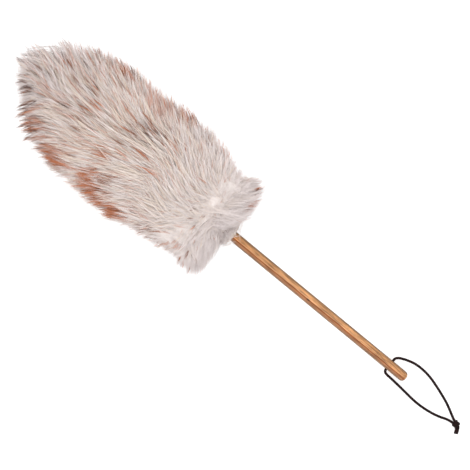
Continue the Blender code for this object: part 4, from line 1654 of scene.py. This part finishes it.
@dataclass
class Handle:
    """The turned handle, the rod, the strip of skin and its tacks, from the CAD frame."""

    shaft: Shaft
    # Edges under the first angle are merged away, and those over the second stay sharp
    flat_degrees: float = 0.2
    sharp_degrees: float = 35.0

    def smooth_copy(self, node: str, finish: bpy.types.Material) -> bpy.types.Object:
        """Stands in for a CAD node with a merged copy of it that is shaded smooth.

        Args:
            node: The CAD node's name.
            finish: The material.

        Returns:
            The new piece.
        """
        bm = bmesh.new()
        bm.from_mesh(frame["nodes"][node].data)
        bmesh.ops.remove_doubles(bm, verts=bm.verts, dist=MERGE_DISTANCE)
        bmesh.ops.dissolve_limit(
            bm,
            angle_limit=math.radians(self.flat_degrees),
            verts=bm.verts,
            edges=bm.edges,
            use_dissolve_boundaries=False,
        )
        name = f"{node}_finished"
        mesh = bpy.data.meshes.new(name)
        bm.to_mesh(mesh)
        bm.free()
        mesh.shade_smooth()
        mesh.set_sharp_from_angle(angle=math.radians(self.sharp_degrees))
        LOG.info("%s: merged and finished", node)
        return add_piece(name, mesh, finish, frame["nodes"][node]["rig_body"], node)

    def build(self) -> None:
        """Finishes the rigid pieces."""
        self.smooth_copy("handle", BeechLacquered().make(self.shaft))
        self.smooth_copy("head_core", BirchSanded().make(self.shaft))
        self.smooth_copy("hide_strip", LambskinTanned().make())
        steel = SteelBlued().make()
        for node in ("strip_tack_base", "strip_tack_tip"):
            self.smooth_copy(node, steel)


@dataclass
class Thong:
    """The leather thong: two legs from the cross hole to the knot, and the knot."""

    shaft: Shaft
    diameter: float = 3.2 * MM
    handle_radius: float = 6.4 * MM
    knot_reach: float = 106.5 * MM
    knot_aside: float = -4.2 * MM
    knot_turn: float = math.radians(-8.0)
    # From the hole along the handle and out from its side, in metres, and how far down to the
    # table as a share of the hole's height
    upper_leg: Route = (
        (0.0000, 0.0014, 0.00), (0.0003, 0.0036, 0.01), (0.0023, 0.0062, 0.06),
        (0.0074, 0.0091, 0.21), (0.0150, 0.0120, 0.46), (0.0245, 0.0142, 0.75),
        (0.0355, 0.0145, 0.95), (0.0470, 0.0131, 1.00), (0.0590, 0.0099, 1.00),
        (0.0710, 0.0060, 1.00), (0.0830, 0.0014, 1.00),
    )
    lower_leg: Route = (
        (0.0000, 0.0014, 0.00), (0.0010, 0.0031, 0.01), (0.0038, 0.0043, 0.06),
        (0.0095, 0.0047, 0.17), (0.0175, 0.0052, 0.38), (0.0268, 0.0059, 0.64),
        (0.0370, 0.0068, 0.87), (0.0480, 0.0077, 0.98), (0.0602, 0.0077, 1.00),
        (0.0728, 0.0063, 1.00), (0.0845, 0.0037, 1.00),
    )
    # Where a leg meets its strand of the knot, in diameters from the knot's middle
    lead_shares: tuple[float, float, float] = (-3.5, 1.20, -0.80)
    entry_shares: tuple[float, float, float] = (-2.6, 0.88, -0.80)

    @property
    def hole(self) -> Vector:
        """The middle of the cross hole, where the loop's joint is."""
        return Vector(frame["joints"][0]["pos_m"])

    def leg_points(self, route: Route, side: int) -> list[Vector]:
        """One leg's points from the middle of the hole to the knot.

        Args:
            route: Where the leg runs.
            side: 1 for the leg at +Y, -1 for the other.

        Returns:
            The points in the row frame.
        """
        hole = self.hole
        drop = self.diameter / 2 - hole.z
        points = [hole.copy()]
        for along, out, down in route:
            points.append(hole + Vector((along, side * (self.handle_radius + out), down * drop)))
        up = self.diameter / 2 - self.entry_shares[2] * self.diameter - hole.z
        middle = Matrix.Translation(hole + Vector((self.knot_reach, self.knot_aside, up)))
        knot = middle @ Matrix.Rotation(self.knot_turn, 4, "Z")
        for along, across, up in (self.lead_shares, self.entry_shares):
            points.append(knot @ (Vector((along, side * across, up)) * self.diameter))
        return points

    def leg(self, name: str, points: list[Vector], finish: bpy.types.Material) -> bpy.types.Object:
        """Makes one leg of the thong as a smooth round tube.

        Args:
            name: The leg's name.
            points: What it runs through, in the row frame.
            finish: Its material.

        Returns:
            The leg.
        """
        curve = bpy.data.curves.new(name, "CURVE")
        curve.dimensions = "3D"
        curve.bevel_depth = self.diameter / 2
        curve.bevel_resolution = 6
        curve.resolution_u = 10
        curve.use_fill_caps = True
        spline = curve.splines.new("BEZIER")
        spline.bezier_points.add(len(points) - 1)
        for knot, point in zip(spline.bezier_points, points):
            knot.co = point
            knot.handle_left_type = knot.handle_right_type = "AUTO"
        return add_piece(name, curve, finish, "hanging_loop", "thong_loop")

    def build(self, handle: Handle) -> None:
        """Makes both legs and finishes the knot.

        Args:
            handle: The handle, which has the means to finish a CAD node.
        """
        leather = LeatherWaxed().make()
        knot = handle.smooth_copy("thong_knot", leather)
        legs = (("thong_leg_wide", self.upper_leg, 1), ("thong_leg_near", self.lower_leg, -1))
        for name, route, side in legs:
            points = self.leg_points(route, side)
            leg = self.leg(name, points, leather)


@dataclass
class Studio:
    """The camera over the duster, the white table and the soft lamps."""

    shaft: Shaft
    photo_pixels: int = 470
    pixel_size: float = 1.18 * MM
    shoulder_pixel: tuple[float, float] = (233.5, 236.4)
    turn: float = math.radians(39.5)
    lens: float = 200.0
    floor_size: float = 6.0
    floor_colour: str = "F2F2F2"
    # What the camera and mirrors see the floor glow by, which lights nothing
    floor_glow: float = 0.45
    room_colour: str = "FFFFFF"
    room_strength: float = 0.86
    softbox_size: float = 1.2
    softbox_watts: float = 15.5
    softbox_place: tuple[float, float, float] = (0.0, 0.03, 2.0)

    def add_camera(self) -> None:
        """Looks straight down, turned as the photograph is."""
        data = bpy.data.cameras.new("camera")
        data.lens = self.lens
        data.clip_end = 50.0
        camera = bpy.data.objects.new("camera", data)
        right = np.array((math.cos(self.turn), math.sin(self.turn), 0.0))
        up = np.array((-math.sin(self.turn), math.cos(self.turn), 0.0))
        middle = self.photo_pixels / 2
        aside, below = middle - self.shoulder_pixel[0], middle - self.shoulder_pixel[1]
        place = self.shaft.shoulder + (right * aside - up * below) * self.pixel_size
        place[2] += self.photo_pixels * self.pixel_size * self.lens / data.sensor_width
        camera.location = place
        camera.rotation_euler = (0.0, 0.0, self.turn)
        bpy.context.scene.collection.objects.link(camera)
        bpy.context.scene.camera = camera

    def add_table(self) -> None:
        """A white table top that reads as white and keeps the duster's shadow."""
        bm = bmesh.new()
        bmesh.ops.create_grid(bm, x_segments=1, y_segments=1, size=self.floor_size / 2)
        mesh = bpy.data.meshes.new("table_top")
        bm.to_mesh(mesh)
        bm.free()
        made, tree, shader = new_material("table_white_laminate")
        feed(tree, shader, {"Base Color": linear(self.floor_colour), "Roughness": 0.6})
        path = add_node(tree, "LightPath").outputs
        seen = path["Is Camera Ray"]
        for ray in ("Is Glossy Ray", "Is Transmission Ray"):
            sockets = {0: seen, 1: path[ray]}
            seen = add_node(tree, "Math", sockets, operation="ADD", use_clamp=True).outputs[0]
        none, glow = (
            add_node(tree, "Emission", {"Strength": strength}).outputs[0]
            for strength in (0.0, self.floor_glow)
        )
        lift = add_node(tree, "MixShader", {0: seen, 1: none, 2: glow}).outputs[0]
        total = add_node(tree, "AddShader", {0: shader.outputs[0], 1: lift}).outputs[0]
        feed(tree, tree.nodes["Material Output"], {"Surface": total})
        mesh.materials.append(made)
        top = bpy.data.objects.new("table_top", mesh)
        bpy.context.scene.collection.objects.link(top)

    def add_light(self) -> None:
        """An even room and one soft lamp straight over the duster."""
        world = bpy.data.worlds.new("room")
        world.use_nodes = True
        back = world.node_tree.nodes["Background"]
        sockets = {"Color": linear(self.room_colour), "Strength": self.room_strength}
        feed(world.node_tree, back, sockets)
        bpy.context.scene.world = world
        lamp = bpy.data.lights.new("softbox", "AREA")
        lamp.shape = "SQUARE"
        lamp.size = self.softbox_size
        lamp.energy = self.softbox_watts
        made = bpy.data.objects.new("softbox", lamp)
        made.location = self.softbox_place
        made.rotation_euler = (-made.location).to_track_quat("-Z", "Y").to_euler()
        bpy.context.scene.collection.objects.link(made)

    def build(self) -> None:
        """Sets up the picture."""
        self.add_camera()
        self.add_table()
        self.add_light()
        bpy.context.scene.view_settings.view_transform = "Standard"


def main() -> None:
    """Builds the scene."""
    logging.basicConfig(level=logging.INFO, format="%(message)s")
    shaft = Shaft.from_frame()
    Studio(shaft).build()
    handle = Handle(shaft)
    Thong(shaft).build(handle)
    handle.build()
    Plume(shaft).build()
    bpy.context.view_layer.update()


if __name__ == "__main__":
    main()
